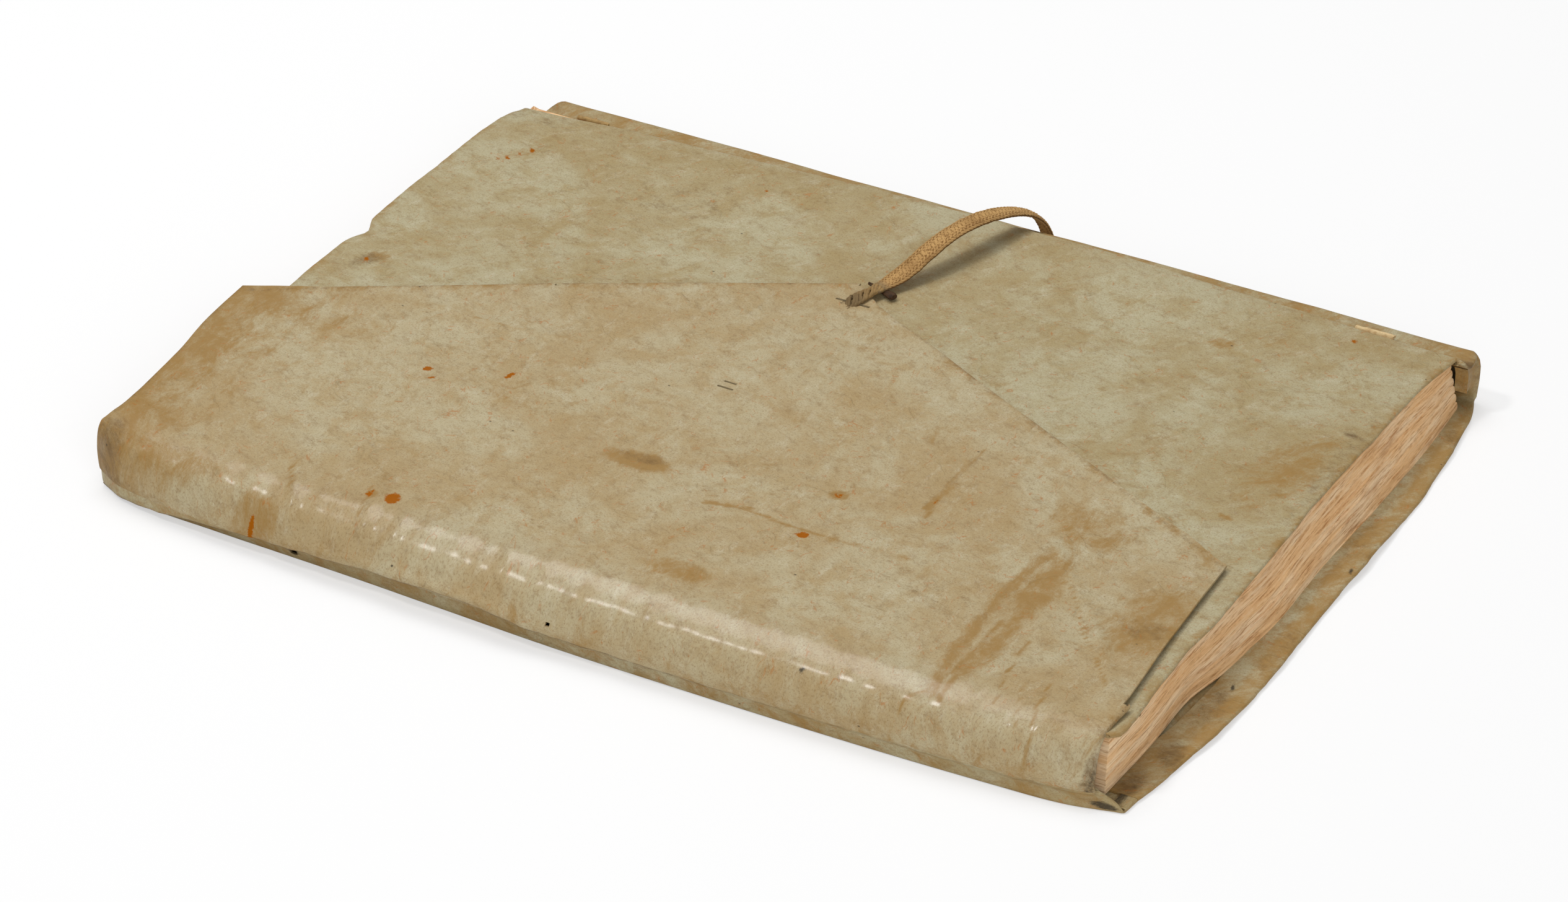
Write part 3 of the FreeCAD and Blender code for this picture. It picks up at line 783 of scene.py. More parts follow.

# %% Stains and painted shade of the wrap
# Each mark has a place (x, y), a long and a short reach, a turn in degrees and a strength.
FRONT_OCHRE = [(139, 31, 26, 12, 80, 0.62), (96, 82, 6, 3, 10, 0.6), (133.1, 1.2, 2.6, 1.5, 10, 1.0),
               (-143, 6.8, 5, 4, 30, 0.8), (-139, 76, 12, 4, 50, 0.35), (120, 95, 22, 14, 20, 0.22)]
FRONT_RUST = [(-139.5, 75.5, 7.5, 0.9, 55, 0.75), (-135.5, 81.8, 1.6, 1.0, 40, 1.0),
              (-120.7, 83.3, 1.8, 0.6, 5, 1.0), (-117.6, 84.2, 1.4, 0.5, 5, 0.9),
              (126.9, 102.3, 1.0, 0.8, 0, 1.0), (119.5, 93.3, 0.9, 0.6, 0, 1.0),
              (-60.7, 95.2, 1.6, 0.8, 20, 0.7), (147.2, 18.8, 0.9, 0.9, 0, 1.0),
              (-144.5, 4.5, 2.4, 1.2, 60, 0.9)]
FRONT_DARK = [(147.6, 55.4, 3.6, 1.8, -10, 0.8), (-145, 3.6, 8, 4, 60, 0.5),
              (-80, 76, 28, 14, 30, 0.20), (150, 40, 5, 40, 0, 0.3), (-146, 100, 20, 7, 0, 0.25)]
MARGIN_BROWN = [(155, -100, 5, 9, 0, 0.6), (159, -84, 5, 10, 20, 0.55), (160, -60, 6, 14, 10, 0.4),
                (164, -28, 4, 16, 0, 0.35), (162, 30, 5, 22, 0, 0.3), (164, 92, 3, 7, 30, 0.5),
                (158, 70, 4, 16, 0, 0.3)]
MARGIN_SOOT = [(160.5, -49, 0.8, 0.8, 0, 1.0), (166.2, 16, 0.7, 0.7, 0, 1.0),
               (157, -101, 0.7, 0.5, 0, 0.9)]


def flat_distance_to_end(vertex):
    """How far a place on the wrap is from its nearer head or tail end."""
    head, tail = case_ends(vertex.y, vertex.z)
    return max(0.0, min(vertex.x - head, tail - vertex.x))


def stain_and_shade_case(vertex):
    """The ochre, dark, rust, soot and polish values at one place of the wrap. The dark value also holds
    painted shade in the valley just past the joint.
    """
    x, y, z = vertex
    rim = 1.0 - ease(flat_distance_to_end(vertex) / 5.0)
    joint = JOINT_Y + soft_value(JOINT_OUT, x)
    on_top = z > COVER_TOP - 1.0 and y < joint + 0.6
    if on_top:
        joint_wear = 1.0 - ease((joint - y) / 6.0)
        ochre = max(0.5 * rim, 0.15 * joint_wear, blotch(x, y, FRONT_OCHRE))
        return ochre, blotch(x, y, FRONT_DARK), blotch(x, y, FRONT_RUST), 0.0, joint_wear
    inside = z < 2.5 and y < SPINE_OUT - 4.0
    if inside:
        ochre = max(0.42, 0.8 * ease((-60.0 - y) / 50.0), 0.7 * rim)
        return ochre, blotch(x, y, MARGIN_BROWN), 0.0, blotch(x, y, MARGIN_SOOT), 0.0
    # Painted shade: a dark band on the spine strip in the valley just past the joint.
    gutter_shade = math.exp(-(((y - joint - 1.2) / 0.7) ** 2)) * ease((z - 14.0) / 2.0)
    return 0.55, 0.14 + 0.2 * rim + 0.8 * gutter_shade, 0.0, 0.0, 0.1


def stain_and_shade(obj, rule):
    """Paint the stain and painted shade values of every vertex by a rule."""
    rows = [rule(vertex.co / MM) for vertex in obj.data.vertices]
    for index, name in enumerate(("ochre", "dark", "rust", "soot_and_shade", "polish")):
        keep_on_vertices(obj, name, [row[index] for row in rows])


stain_and_shade(case, stain_and_shade_case)
case.data.materials.append(vellum("cover vellum", GREY_GREEN, OLIVE_TAN, 0.0, math.radians(-12.0), 0.10))
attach(case, "book")
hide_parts("vellum_case")
print("wrap stained")

# %% [markdown]
# ## The fore-edge: lip, wall and flap
#
# Past the fore-edge the skin turns up from the table, leans out to a crease, bulges round
# the leaves and lies back on the front cover. Its section changes along the book: drawn in
# at both ends, fullest in the middle. So each corner of the section is a smooth table along
# X, and a soft curve through the corners gives the skin at every place.

# %% Section of the fore-edge
# Tables along X: the foot's line on the table, the crease, its step, the wall's bulge.
TABLE_LINE = [(-163, -108.0), (-157, -111.0), (-151, -113.4), (-139, -115.1), (-122, -115.7),
              (-75, -116.5), (-46, -117.5), (-6, -118.8), (40, -118.8), (86, -118.0), (124, -116.4),
              (143, -115.0), (158, -111.4)]
CREASE_HEIGHT = [(-163, 0.6), (-150, 0.9), (-139, 1.5), (-124, 3.2), (-92, 5.4), (-65, 6.9), (-45, 7.7),
                 (-26, 7.2), (-12, 5.6), (20, 4.9), (80, 4.6), (158, 4.2)]
CREASE_STEP = [(-163, 0.4), (-139, 1.6), (-92, 2.9), (-45, 3.2), (-18, 2.9), (6, 1.5), (60, 0.5),
               (158, 0.3)]
BULGE = [(-163, 1.6), (-139, 2.2), (-75, 2.4), (0, 1.0), (86, 0.7), (122, -0.1), (142, -1.9),
         (158, -3.0)]
SHOULDER_Y = [(-167, -103.0), (-139, -105.4), (-60, -105.9), (0, -105.9), (86, -105.6), (120, -104.6),
              (140, -102.2), (158, -99.5)]
FOLD_HEIGHT = 18.9
SEAM_HEIGHT = 5.3


def fore_section(x):
    """Corners of the skin's outer line at x, from the flat bottom to the flap."""
    table_y = soft_value(TABLE_LINE, x)
    crease_z = soft_value(CREASE_HEIGHT, x)
    step = soft_value(CREASE_STEP, x)
    bulge = soft_value(BULGE, x)
    shoulder = soft_value(SHOULDER_Y, x)
    crease_y = table_y - 0.35 * bulge
    return [
        (FORE_SEAM, 0.0),
        (table_y + 3.0, 0.0),
        (table_y, 0.0),
        (table_y - 0.1, min(1.0, 0.3 * crease_z)),
        (crease_y + 0.2, crease_z - min(1.0, 0.3 * crease_z)),
        (crease_y + 0.3, crease_z),
        (crease_y - step, crease_z + 0.35),
        (crease_y - step - 0.3, crease_z + 1.8),
        (table_y - bulge, mix(crease_z, 14.0, 0.55)),
        (mix(table_y - bulge, shoulder, 0.22), 15.2),
        (mix(table_y - bulge, shoulder, 0.55), FOLD_HEIGHT - 0.9),
        (shoulder - 2.0, FOLD_HEIGHT + 0.1),
        (shoulder + 2.5, FOLD_HEIGHT),
    ]


def soft_curve(corners, at):
    """A quadratic B-spline near its corners, from 0 to one less than their number."""
    last = len(corners) - 1
    index = int(clamp(round(at), 1, last - 1))
    t = at - index + 0.5
    before, here, after = (Vector(corners[i]) for i in (index - 1, index, index + 1))
    if at < 0.5:
        return Vector(corners[0]).lerp((Vector(corners[0]) + Vector(corners[1])) / 2.0, at / 0.5)
    if at > last - 0.5:
        end = Vector(corners[-1])
        return ((end + Vector(corners[-2])) / 2.0).lerp(end, (at - last + 0.5) / 0.5)
    return before * (0.5 * (1 - t) ** 2) + here * (0.5 + t - t * t) + after * (0.5 * t * t)


def curve_at_height(corners, height):
    """Where on the soft curve the skin passes a height on its way up."""
    low, high = 2.0, len(corners) - 2.0
    for _ in range(24):
        middle = (low + high) / 2.0
        if soft_curve(corners, middle).y < height:
            low = middle
        else:
            high = middle
    return low


# %% Folded skin beyond the fore-edge
# Rows of (s, x): where the cut skin ends at head and tail, at a distance up from the seam.
EDGE_HEAD = [(0.0, -160.6), (5.0, -162.0), (12.0, -162.2), (20.0, -160.6), (28.0, -160.4),
             (55.0, -163.2), (74.0, -166.2), (94.0, -167.4)]
EDGE_TAIL = [(0.0, 150.4), (6.0, 149.4), (13.0, 149.0), (19.0, 149.5), (28.0, 150.2), (41.0, 149.3),
             (57.0, 148.1), (77.0, 147.2), (98.0, 146.4)]
WALL_LENGTH = 21.0


def wall_place(x, s, out=0.0):
    """A place on the wall or the flap: s runs up from the seam, out stands off the skin."""
    corners = fore_section(x)
    first, last = curve_at_height(corners, SEAM_HEIGHT), len(corners) - 1.0
    if s <= WALL_LENGTH:
        at = mix(first, last, s / WALL_LENGTH)
        here = soft_curve(corners, at)
        near = soft_curve(corners, min(at + 0.02, last)) - soft_curve(corners, max(at - 0.02, first))
        along = near.normalized()
        y, z = here.x + along.y * -out, here.y + along.x * out
        settle = ease((s - 15.0) / 6.0)
    else:
        y, z = corners[-1][0] + s - WALL_LENGTH, FOLD_HEIGHT + out
        settle = 1.0
    return Vector((x, y, z + settle * swell(x, clamp(y, COVER_END, JOINT_Y))))


middle_section = fore_section(0.0)
print("fore-edge section at the middle", [(round(y, 1), round(z, 1)) for y, z in middle_section[:4]])

# %% Creases and wrinkles of the flap
TAIL_CURL = 0.9
# Each crease has the places (x, y) that it passes, a height and a width.
CREASES = [
    ([(101, -36), (116, -52), (133, -72), (145, -90)], 0.70, 1.3),
    ([(1.7, 50.0), (0.8, 17.4), (-2.1, 0.7)], 0.35, 1.1),
    ([(-112, -10.2), (-88, -10.8), (-64, -7.8)], 0.30, 1.3),
    ([(-71.7, 27), (-68.8, 15.7), (-71, 5.6)], -0.35, 1.2),
    ([(-104, -66), (-94, -78), (-85, -89), (-72, -104), (-70, -114)], 0.75, 1.8),
    ([(-103, -96), (-97, -106), (-92, -118)], 0.80, 1.4),
    ([(-62, -100), (-60, -110), (-61, -119)], 0.60, 1.3),
    ([(-30, -102), (-26, -111), (-27, -119)], 0.55, 1.2),
    ([(11.6, -60.6), (35, -59.7)], -0.25, 1.0),
    ([(60, -2), (62, -35)], -0.22, 0.9),
    ([(118, -60), (112, -84), (109, -104)], 0.45, 1.2),
    ([(124, -74), (118, -92), (114, -108)], 0.50, 1.1),
    ([(131, -84), (127, -98), (124, -110)], -0.40, 1.0),
    ([(137, -90), (134, -101), (133, -112)], 0.55, 1.0),
    ([(-150, -45), (-118, -24), (-80, -4)], 0.20, 1.6),
]


def near_line(x, y, points):
    """Distance from a place to a broken line."""
    best = 1e9
    for (ax, ay), (bx, by) in zip(points, points[1:]):
        long = (bx - ax) ** 2 + (by - ay) ** 2
        share = clamp(((x - ax) * (bx - ax) + (y - ay) * (by - ay)) / long)
        best = min(best, math.hypot(x - mix(ax, bx, share), y - mix(ay, by, share)))
    return best


def flap_relief(x, y, s):
    """Wrinkles of the flap and the wall, as a height off the skin."""
    height = 0.16 * wave(x, y, 17.0, 11.0) + 0.07 * wave(x, y, 6.0, 12.0)
    on_wall = 1.0 - ease((s - WALL_LENGTH - 4.0) / 14.0)
    height += on_wall * (0.30 * wave(x, s * 0.35, 5.5, 13.0) + 0.36 * wave(x, s * 0.5, 18.0, 14.0))
    height += on_wall * 0.12 * wave(x + 0.4 * s, s * 0.4, 2.6, 15.0)
    for points, rise, width in CREASES:
        if abs(x - points[0][0]) < 70.0:
            height += rise * math.exp(-((near_line(x, y, points) / width) ** 2))
    curl = TAIL_CURL * ease((x - 136.0) / 12.0) * ease((y + 104.0) / 14.0)
    height += curl * (0.7 + 0.6 * wave(x, y, 21.0, 16.0))
    return height + 0.25


def edge_shift(x, s):
    """Slide the skin's ends in or out, to the outline that it was cut to."""
    reach = 26.0
    head, tail = soft_value(EDGE_HEAD, s), soft_value(EDGE_TAIL, s)
    if x < FLAT_HEAD + reach:
        return x + (head - FLAT_HEAD) * ease((FLAT_HEAD + reach - x) / reach)
    if x > FLAT_TAIL - reach:
        return x + (tail - FLAT_TAIL) * ease((x - FLAT_TAIL + reach) / reach)
    return x


# %% Cut and fold the flap
FLAT_HEAD = -167.0
FLAT_TAIL = 152.5
TIP_HEAD = (-10.5, 60.5)
TIP_TAIL = (0.5, 51.5)
HEAD_SHOULDER = (-167.5, -31.0)
TAIL_SHOULDER = (153.0, -27.0)
HEAD_BOW = (-88.0, 17.4)
FLAP_CELL = 1.35
SHOULDER_END = fore_section(0.0)[-1][0]


def flat_s(y):
    """Where a place on the flap lies on the flat skin."""
    return WALL_LENGTH + y - SHOULDER_END


def trim(sheet, start, end):
    """Cut the flat sheet along a straight edge and drop what is above it."""
    start, end = Vector((*start, 0.0)), Vector((*end, 0.0))
    choose_only(sheet)
    bpy.ops.object.mode_set(mode="EDIT")
    bpy.ops.mesh.select_all(action="DESELECT")
    bpy.ops.object.mode_set(mode="OBJECT")
    for polygon in sheet.data.polygons:
        polygon.select = start.x < polygon.center.x < end.x
    bpy.ops.object.mode_set(mode="EDIT")
    bpy.ops.mesh.select_mode(type="FACE")
    along = (end - start).normalized()
    bpy.ops.mesh.bisect(plane_co=start, plane_no=(-along.y, along.x, 0.0), clear_outer=True)
    bpy.ops.object.mode_set(mode="OBJECT")


HEM = [share * RIM_TURN for share in (0.2, 0.4, 0.6, 0.8, 1.0)] + [3.2, 4.6, 6.0]
HEM_TOP = 27.0
flap_columns = (places_between([FLAT_HEAD, HEAD_BOW[0], TIP_HEAD[0], TIP_TAIL[0], FLAT_TAIL], FLAP_CELL)
                + [FLAT_TAIL + beyond for beyond in HEM])
flap_rows = (places_between([0.0, 6.0], 0.36) + places_between([6.0, WALL_LENGTH], 0.7)[1:]
             + places_between([WALL_LENGTH, flat_s(TIP_HEAD[1]) + FLAP_CELL], FLAP_CELL)[1:])
flap = flat_grid("vellum_flap", flap_columns, flap_rows)
corners = [HEAD_SHOULDER, HEAD_BOW, TIP_HEAD, TIP_TAIL, TAIL_SHOULDER]
flat_corners = [(x, flat_s(y)) for x, y in corners]
trim(flap, (FLAT_TAIL, HEM_TOP), (FLAT_TAIL + HEM[-1], HEM_TOP - 4.0))
for start, end in zip(flat_corners, flat_corners[1:]):
    trim(flap, start, end)


def flap_place(x, s):
    reach, drop = round_rim(max(0.0, x - FLAT_TAIL))
    shifted = edge_shift(min(x, FLAT_TAIL), s)
    bare = wall_place(shifted, s)
    place = wall_place(shifted, s, flap_relief(shifted, bare.y, s) - drop)
    return place + Vector((reach, 0.0, 0.0)) if drop else place


fold(flap, flap_place, lambda x, s: (edge_shift(x, s), s))
print("flap vertices", len(flap.data.vertices))

# %% Thickness and slits of the flap
FLAP_SLITS = [
    ((-7.4, 49.8, 19.2), (11.0, 0.9, 5.0)),
    ((-16.6, -8.9, 19.2), (5.0, 0.8, 5.0)),
    ((-16.6, -5.9, 19.2), (4.0, 0.7, 5.0)),
    ((-8.0, -119.0, 9.0), (1.3, 12.0, 1.1)),
]


thicken(flap, SKIN)
cut_slits(flap, FLAP_SLITS)
smooth(flap)

# %% Stains and painted shade of the flap
FLAP_OCHRE = [(-18.9, -53.4, 12, 6, 0, 0.95), (18.5, -94.6, 13, 6, 0, 0.7),
              (105.6, -24.2, 16, 14, 0, 0.6), (139.4, -55.9, 15, 22, 0, 0.75),
              (106, -58, 7, 26, 0, 0.7), (107, -90, 5, 22, -6, 0.7), (-155, -75, 12, 26, 0, 0.65),
              (-104, -118, 10, 6, 0, 0.7), (44.4, -1.3, 10, 8, 0, 0.35), (-135, -112, 20, 7, 0, 0.6),
              (-74, -103.3, 3.4, 2.2, 0, 0.8), (38, -42.2, 3.4, 3.0, 0, 1.0),
              (-60, -40, 26, 12, 20, 0.25), (-130, -35, 28, 14, 30, 0.35)]
FLAP_DARK = [(-18.9, -52, 9, 3.5, 0, 0.45), (77, -70, 24, 10, 0, 0.16), (62, -18, 1.4, 16, -5, 0.3),
             (149, -113, 2.5, 6, 0, 0.6), (139, -60, 8, 7, 0, 0.4),
             (-157, -112, 8, 10, 0, 0.5)]
FLAP_RUST = [(-68.4, -102.1, 2.6, 3.4, 20, 1.0), (-74.9, -103.3, 1.5, 2.0, 0, 0.8),
             (38.6, -64.1, 2.2, 1.7, 0, 1.1), (-95.6, -40.9, 1.7, 1.4, 0, 1.0),
             (-92.1, -44.2, 1.4, 1.0, 0, 0.9), (-73.3, -32.4, 3.2, 0.9, 70, 1.1),
             (-104, -119.4, 1.2, 2.2, 0, 1.0), (37.9, -42.2, 2.0, 1.8, 0, 0.62),
             (62, -32, 0.8, 3.0, 0, 0.5)]
FLAP_SOOT = [(149.5, -114, 1.6, 4, 0, 0.45), (147.5, -117, 4, 2, 0, 0.35),
             (66.5, -115.0, 1.2, 0.7, 20, 0.9)]
# Each streak has the places (x, y) that it passes, a width and a strength.
STREAKS = [
    ([(102.4, -110.5), (100.3, -93.2), (99.0, -73.7), (99.7, -54.1), (101.0, -38.9)], 3.2, 0.75),
    ([(105.6, -111.7), (103.8, -91.4), (104.4, -73.8), (107.9, -70.3)], 1.0, 0.85),
    ([(118.9, -107.4), (115.7, -90.9), (114.9, -79.0)], 0.8, 0.8),
    ([(132.7, -117.6), (129.6, -103.0), (128.1, -93.2)], 0.7, 0.75),
    ([(127.2, -111.8), (122.6, -99.3), (122.0, -84.4)], 0.7, 0.6),
    ([(94.3, -121.6), (96.3, -113.9), (100.4, -110.1)], 0.7, 0.8),
    ([(7.7, -62.6), (18.9, -59.4), (31.3, -61.6), (44.3, -62.0)], 1.1, 0.9),
    ([(44.3, -62.0), (60.1, -60.8), (70.8, -60.5)], 1.6, 0.55),
    ([(63.1, -21.5), (62.3, -30.4), (63.5, -39.8)], 1.2, 0.8),
    ([(99.9, -36.8), (112.8, -50.1), (125.4, -68.5), (141.5, -87.3)], 0.6, 0.7),
    ([(1.7, 50.0), (0.8, 17.4), (-2.1, 0.7)], 0.5, 0.5),
    ([(-112, -10.2), (-88, -10.8), (-64, -7.8)], 0.5, 0.45),
    ([(62, -2), (61, -36)], 0.9, 0.7),
    ([(-104, -98), (-98, -107), (-95, -114)], 0.6, 0.6),
    ([(-76, -100), (-73, -112)], 0.8, 0.7),
]
# Rows of (x, strength): how dark the painted shade is along the crease, where the wall overhangs the
# lip.
CREASE_SHADE = [(-163, 0.5), (-139, 0.9), (-100, 1.0), (-14, 1.2), (8, 0.7), (60, 0.3), (158, 0.2)]
RIDGE_SHINE = [(-163, 0.25), (-110, 0.6), (-60, 0.9), (0, 1.0), (100, 0.9), (140, 0.5), (158, 0.6)]


def outline_distance(x, s):
    """How far a place on the flat flap is from the cut outline."""
    side = min(abs(x - soft_value(EDGE_HEAD, s)), abs(x - soft_value(EDGE_TAIL, s)))
    return min(side, near_line(x, s, flat_corners))


def stain_and_shade_flap(vertex):
    x, y, z = vertex
    s = flat_s(y) if z > 17.5 else (z - SEAM_HEIGHT) * 1.1
    away = outline_distance(x, s)
    rim = 1.0 - ease(away / 6.0)
    edge = 1.0 - ease(away / 1.2)
    low = 1.0 - ease((z - 5.0) / 11.0)
    head = ease((-120.0 - x) / 45.0)
    # Painted shade: a dark band on the wall along the crease, where it overhangs the lip.
    above = z - soft_value(CREASE_HEIGHT, x) - 0.1
    crease_shade = math.exp(-((above / 0.6) ** 2)) * soft_value(CREASE_SHADE, x)
    streaks = max(strength * math.exp(-((near_line(x, y, points) / wide) ** 2))
                  for points, wide, strength in STREAKS)
    ochre = max(0.45 * rim, 0.35 * low, 0.75 * head, blotch(x, y, FLAP_OCHRE), streaks)
    dark = max(0.15 * rim, 0.45 * edge, 1.3 * crease_shade, 0.55 * head * low, 0.22 * streaks,
               blotch(x, y, FLAP_DARK))
    along = soft_value(RIDGE_SHINE, x)
    ridge = along * math.exp(-(((y + 109.5) / 5.0) ** 2)) * ease((z - 8.0) / 6.0)
    return ochre, dark, blotch(x, y, FLAP_RUST), blotch(x, y, FLAP_SOOT), ridge


stain_and_shade(flap, stain_and_shade_flap)
flap.data.materials.append(vellum("flap vellum", FLAP_PALE, FLAP_TAN, 2.6, math.radians(24.0), 0.36))
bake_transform(flap)
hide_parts("fore_edge_wall", "envelope_flap")
print("flap faces", len(flap.data.polygons))

# %% [markdown]
# ## The lip
#
# The lower cover's fore-edge turns up from the table to the crease. It is the same skin as
# the wall, so it takes the lower part of the same section and meets the wall edge to edge.

# %% Fold the lip
LIP_FLAT = 20.0
LIP_HEAD_X = -159.6
LIP_TAIL = [(0.0, 159.6), (8.5, 158.4), (10.5, 157.2), (14.0, 153.6), (LIP_FLAT, 150.4)]
LIP_HOLE = ((-92.0, -117.0, 3.1), (2.3, 12.0, 2.5))


def lip_place(share, s):
    """The lip's skin. Shares past one go round the rim at the tail."""
    reach, drop = round_rim(max(0.0, share - 1.0) * 100.0)
    x = lip_x(min(share, 1.0), s) + (reach - RIM if drop else -RIM * ease((share - 0.9) / 0.1))
    corners = fore_section(x)
    last = curve_at_height(corners, SEAM_HEIGHT)
    at = last * s / LIP_FLAT
    here = soft_curve(corners, at)
    along = (soft_curve(corners, at + 0.02) - soft_curve(corners, max(at - 0.02, 0.0))).normalized()
    ripple = mix(0.25, flap_relief(x, here.x, 0.0), ease((s - 11.0) / 6.0))
    out = ease((at - 3.0) / 2.0) * ripple - drop
    return Vector((x, here.x - along.y * out, max(0.0, here.y + along.x * out)))


def lip_x(share, s):
    return mix(LIP_HEAD_X, soft_value(LIP_TAIL, s), share)


lip_rows = places_between([0.0, 10.0], 1.0) + places_between([10.0, LIP_FLAT], 0.42)[1:]
lip_columns = places_between([0.0, 0.95, 1.0], 1.0 / 200.0) + [1.0 + beyond / 100.0 for beyond in HEM]
lip = flat_grid("vellum_lip", lip_columns, lip_rows)
fold(lip, lip_place, lambda share, s: (lip_x(share, s), s - LIP_FLAT * 0.55))
thicken(lip, SKIN)
cut_slits(lip, [LIP_HOLE])
smooth(lip)


def stain_and_shade_lip(vertex):
    x, y, z = vertex
    # Painted shade: a dark band on the lip's top, under the wall's overhanging crease.
    below = soft_value(CREASE_HEIGHT, x) - z
    crease_shade = math.exp(-((below / 0.7) ** 2)) * soft_value(CREASE_SHADE, x)
    soot_and_shade = 0.8 * blotch(x, z, [(153.5, 1.6, 4.5, 1.1, -8, 1.0), (-92.0, 3.1, 2.2, 2.2, 0, 0.8)])
    # Painted shadow: a dark line where the lip's foot meets the table, stored with the soot marks.
    contact_shadow = 0.8 * (1.0 - ease(z / 0.55)) * (1.0 - ease((abs(x) - 120.0) / 30.0))
    return 0.42, max(0.10, 1.3 * crease_shade), 0.0, max(soot_and_shade, contact_shadow), 0.1


stain_and_shade(lip, stain_and_shade_lip)
lip.data.materials.append(bpy.data.materials["cover vellum"])
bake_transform(lip)
print("lip faces", len(lip.data.polygons))

# %% [markdown]
# ## The leaves
#
# The block is a pile of old rag paper, sewn at the spine. Its cut edges are not flat: every
# few leaves stand in or out a little, and the whole pile has cockled, so the lines of the
# leaves sweep up and down. A band of fine steps is wrapped round the pile's outline and
# closed above and below.

# %% Outline of the leaves
# Rows of (y, x): where the lowest and the highest leaf end at the tail.
BLOCK_TAIL = [(-108, 150.6), (-104, 151.6), (-84, 152.6), (-59, 152.4), (-45, 155.0), (-31, 156.6),
              (-14, 158.0), (12, 157.8), (33, 158.4), (65, 159.3), (89, 159.2), (107, 158.4)]
TOP_TAIL = [(-104, 150.4), (-78, 151.4), (-32, 150.0), (-8, 151.8), (18, 151.2), (53, 152.2),
            (83, 152.8), (94, 154.0), (107, 155.0)]
LEAF_ROWS = 60
LEAF_CELL = 2.2
FOLD_DEPTH = 1.1
FORE_FILL = 4.5
GATHERINGS = 6

fore_y, spine_y = leaves_low.y, leaves_high.y
head_x, block_foot, block_top = leaves_low.x, leaves_low.z, leaves_high.z
tail_x = 150.0
outline_corners = [(head_x, fore_y), (tail_x, fore_y), (tail_x, spine_y), (head_x, spine_y),
                   (head_x, fore_y)]
outline_line = [Vector(corner) for corner in outline_corners]
outline_stops = distances_along(outline_line)
leaf_columns = places_between(outline_stops, LEAF_CELL)


def leaf_place(around, row):
    """A place on the band round the leaves. Rows come in pairs, one pair for each step."""
    share = row / LEAF_ROWS
    leaf = math.floor(row / 2.0 + 0.01)
    index = bisect.bisect_right(outline_stops, around) - 1
    index = min(index, 3)
    flat_share = (around - outline_stops[index]) / (outline_stops[index + 1] - outline_stops[index])
    place = outline_line[index].lerp(outline_line[index + 1], flat_share)
    x, y = place
    to_tail = ease((x - 100.0) / 50.0)
    tail_out = mix(soft_value(BLOCK_TAIL, y), soft_value(TOP_TAIL, y), share) - tail_x
    step = 0.34 * noise.noise(Vector((leaf * 3.7, y / 30.0, x / 60.0)))
    step += 0.16 * wave(x + y, leaf * 9.0, 9.0, 21.0)
    cockle = math.sin(math.pi * share) * (0.9 * wave(y, x, 46.0, 31.0) + 0.35 * wave(y, x, 17.0, 32.0))
    z = mix(block_foot, block_top, share) + cockle
    if share > 0.5:
        z += (share - 0.5) * 2.0 * 0.75 * swell(x, y)
    forward = FORE_FILL * (1.0 - share) * to_tail * ease((fore_y + 12.0 - y) / 12.0)
    if index == 0:
        return Vector((x + to_tail * tail_out, y + 0.5 * step - forward, z))
    if index == 1:
        return Vector((x + tail_out + step, y - forward, z))
    if index == 3:
        return Vector((x - 0.8 * step, y, z))
    fold_share = (share * GATHERINGS) % 1.0
    round_in = FOLD_DEPTH * (1.0 - math.sqrt(max(0.0, 1.0 - (2.0 * fold_share - 1.0) ** 2)))
    return Vector((x + to_tail * tail_out, y - round_in, z - cockle))


# %% Wrap and close the leaves
def close_holes(obj):
    """Join the band's ends, close every open rim with a face, and point all faces out."""
    choose_only(obj)
    bpy.ops.object.mode_set(mode="EDIT")
    bpy.ops.mesh.select_all(action="SELECT")
    bpy.ops.mesh.remove_doubles(threshold=0.01 * MM)
    bpy.ops.mesh.select_all(action="DESELECT")
    bpy.ops.mesh.select_mode(type="EDGE")
    bpy.ops.mesh.select_non_manifold(extend=False)
    bpy.ops.mesh.edge_face_add()
    bpy.ops.mesh.select_all(action="SELECT")
    bpy.ops.mesh.normals_make_consistent(inside=False)
    bpy.ops.mesh.select_mode(type="VERT")
    bpy.ops.object.mode_set(mode="OBJECT")


leaf_rows = [float(row) for row in range(LEAF_ROWS + 1)]
leaves = flat_grid("paper_leaves", leaf_columns, leaf_rows)
fold(leaves, leaf_place, lambda around, row: (around, row / LEAF_ROWS * (block_top - block_foot)))


def fill_rim(obj, low):
    """Select the open rim at the foot or the top and fill it."""
    choose_only(obj)
    bpy.ops.object.mode_set(mode="EDIT")
    bpy.ops.mesh.select_all(action="SELECT")
    bpy.ops.mesh.remove_doubles(threshold=0.01 * MM)
    bpy.ops.mesh.select_all(action="DESELECT")
    bpy.ops.object.mode_set(mode="OBJECT")
    middle = (block_foot + block_top) / 2.0 * MM
    seen_once = {}
    for polygon in obj.data.polygons:
        for key in polygon.edge_keys:
            seen_once[key] = seen_once.get(key, 0) + 1
    for edge in obj.data.edges:
        height = obj.data.vertices[edge.vertices[0]].co.z
        edge.select = seen_once[edge.key] == 1 and (height < middle) == low
    bpy.ops.object.mode_set(mode="EDIT")
    bpy.ops.mesh.select_mode(type="EDGE")
    bpy.ops.mesh.edge_face_add()
    bpy.ops.object.mode_set(mode="OBJECT")


fill_rim(leaves, True)
fill_rim(leaves, False)
choose_only(leaves)
bpy.ops.object.mode_set(mode="EDIT")
bpy.ops.mesh.select_all(action="SELECT")
bpy.ops.mesh.normals_make_consistent(inside=False)
bpy.ops.mesh.select_mode(type="VERT")
bpy.ops.object.mode_set(mode="OBJECT")
smooth(leaves, 25.0)
print("leaves faces", len(leaves.data.polygons))

# %% Finish of the leaves
LEAF_TAN = paint(238, 192, 138)
LEAF_PALE = paint(250, 222, 182)
LEAF_BROWN = paint(176, 118, 64)


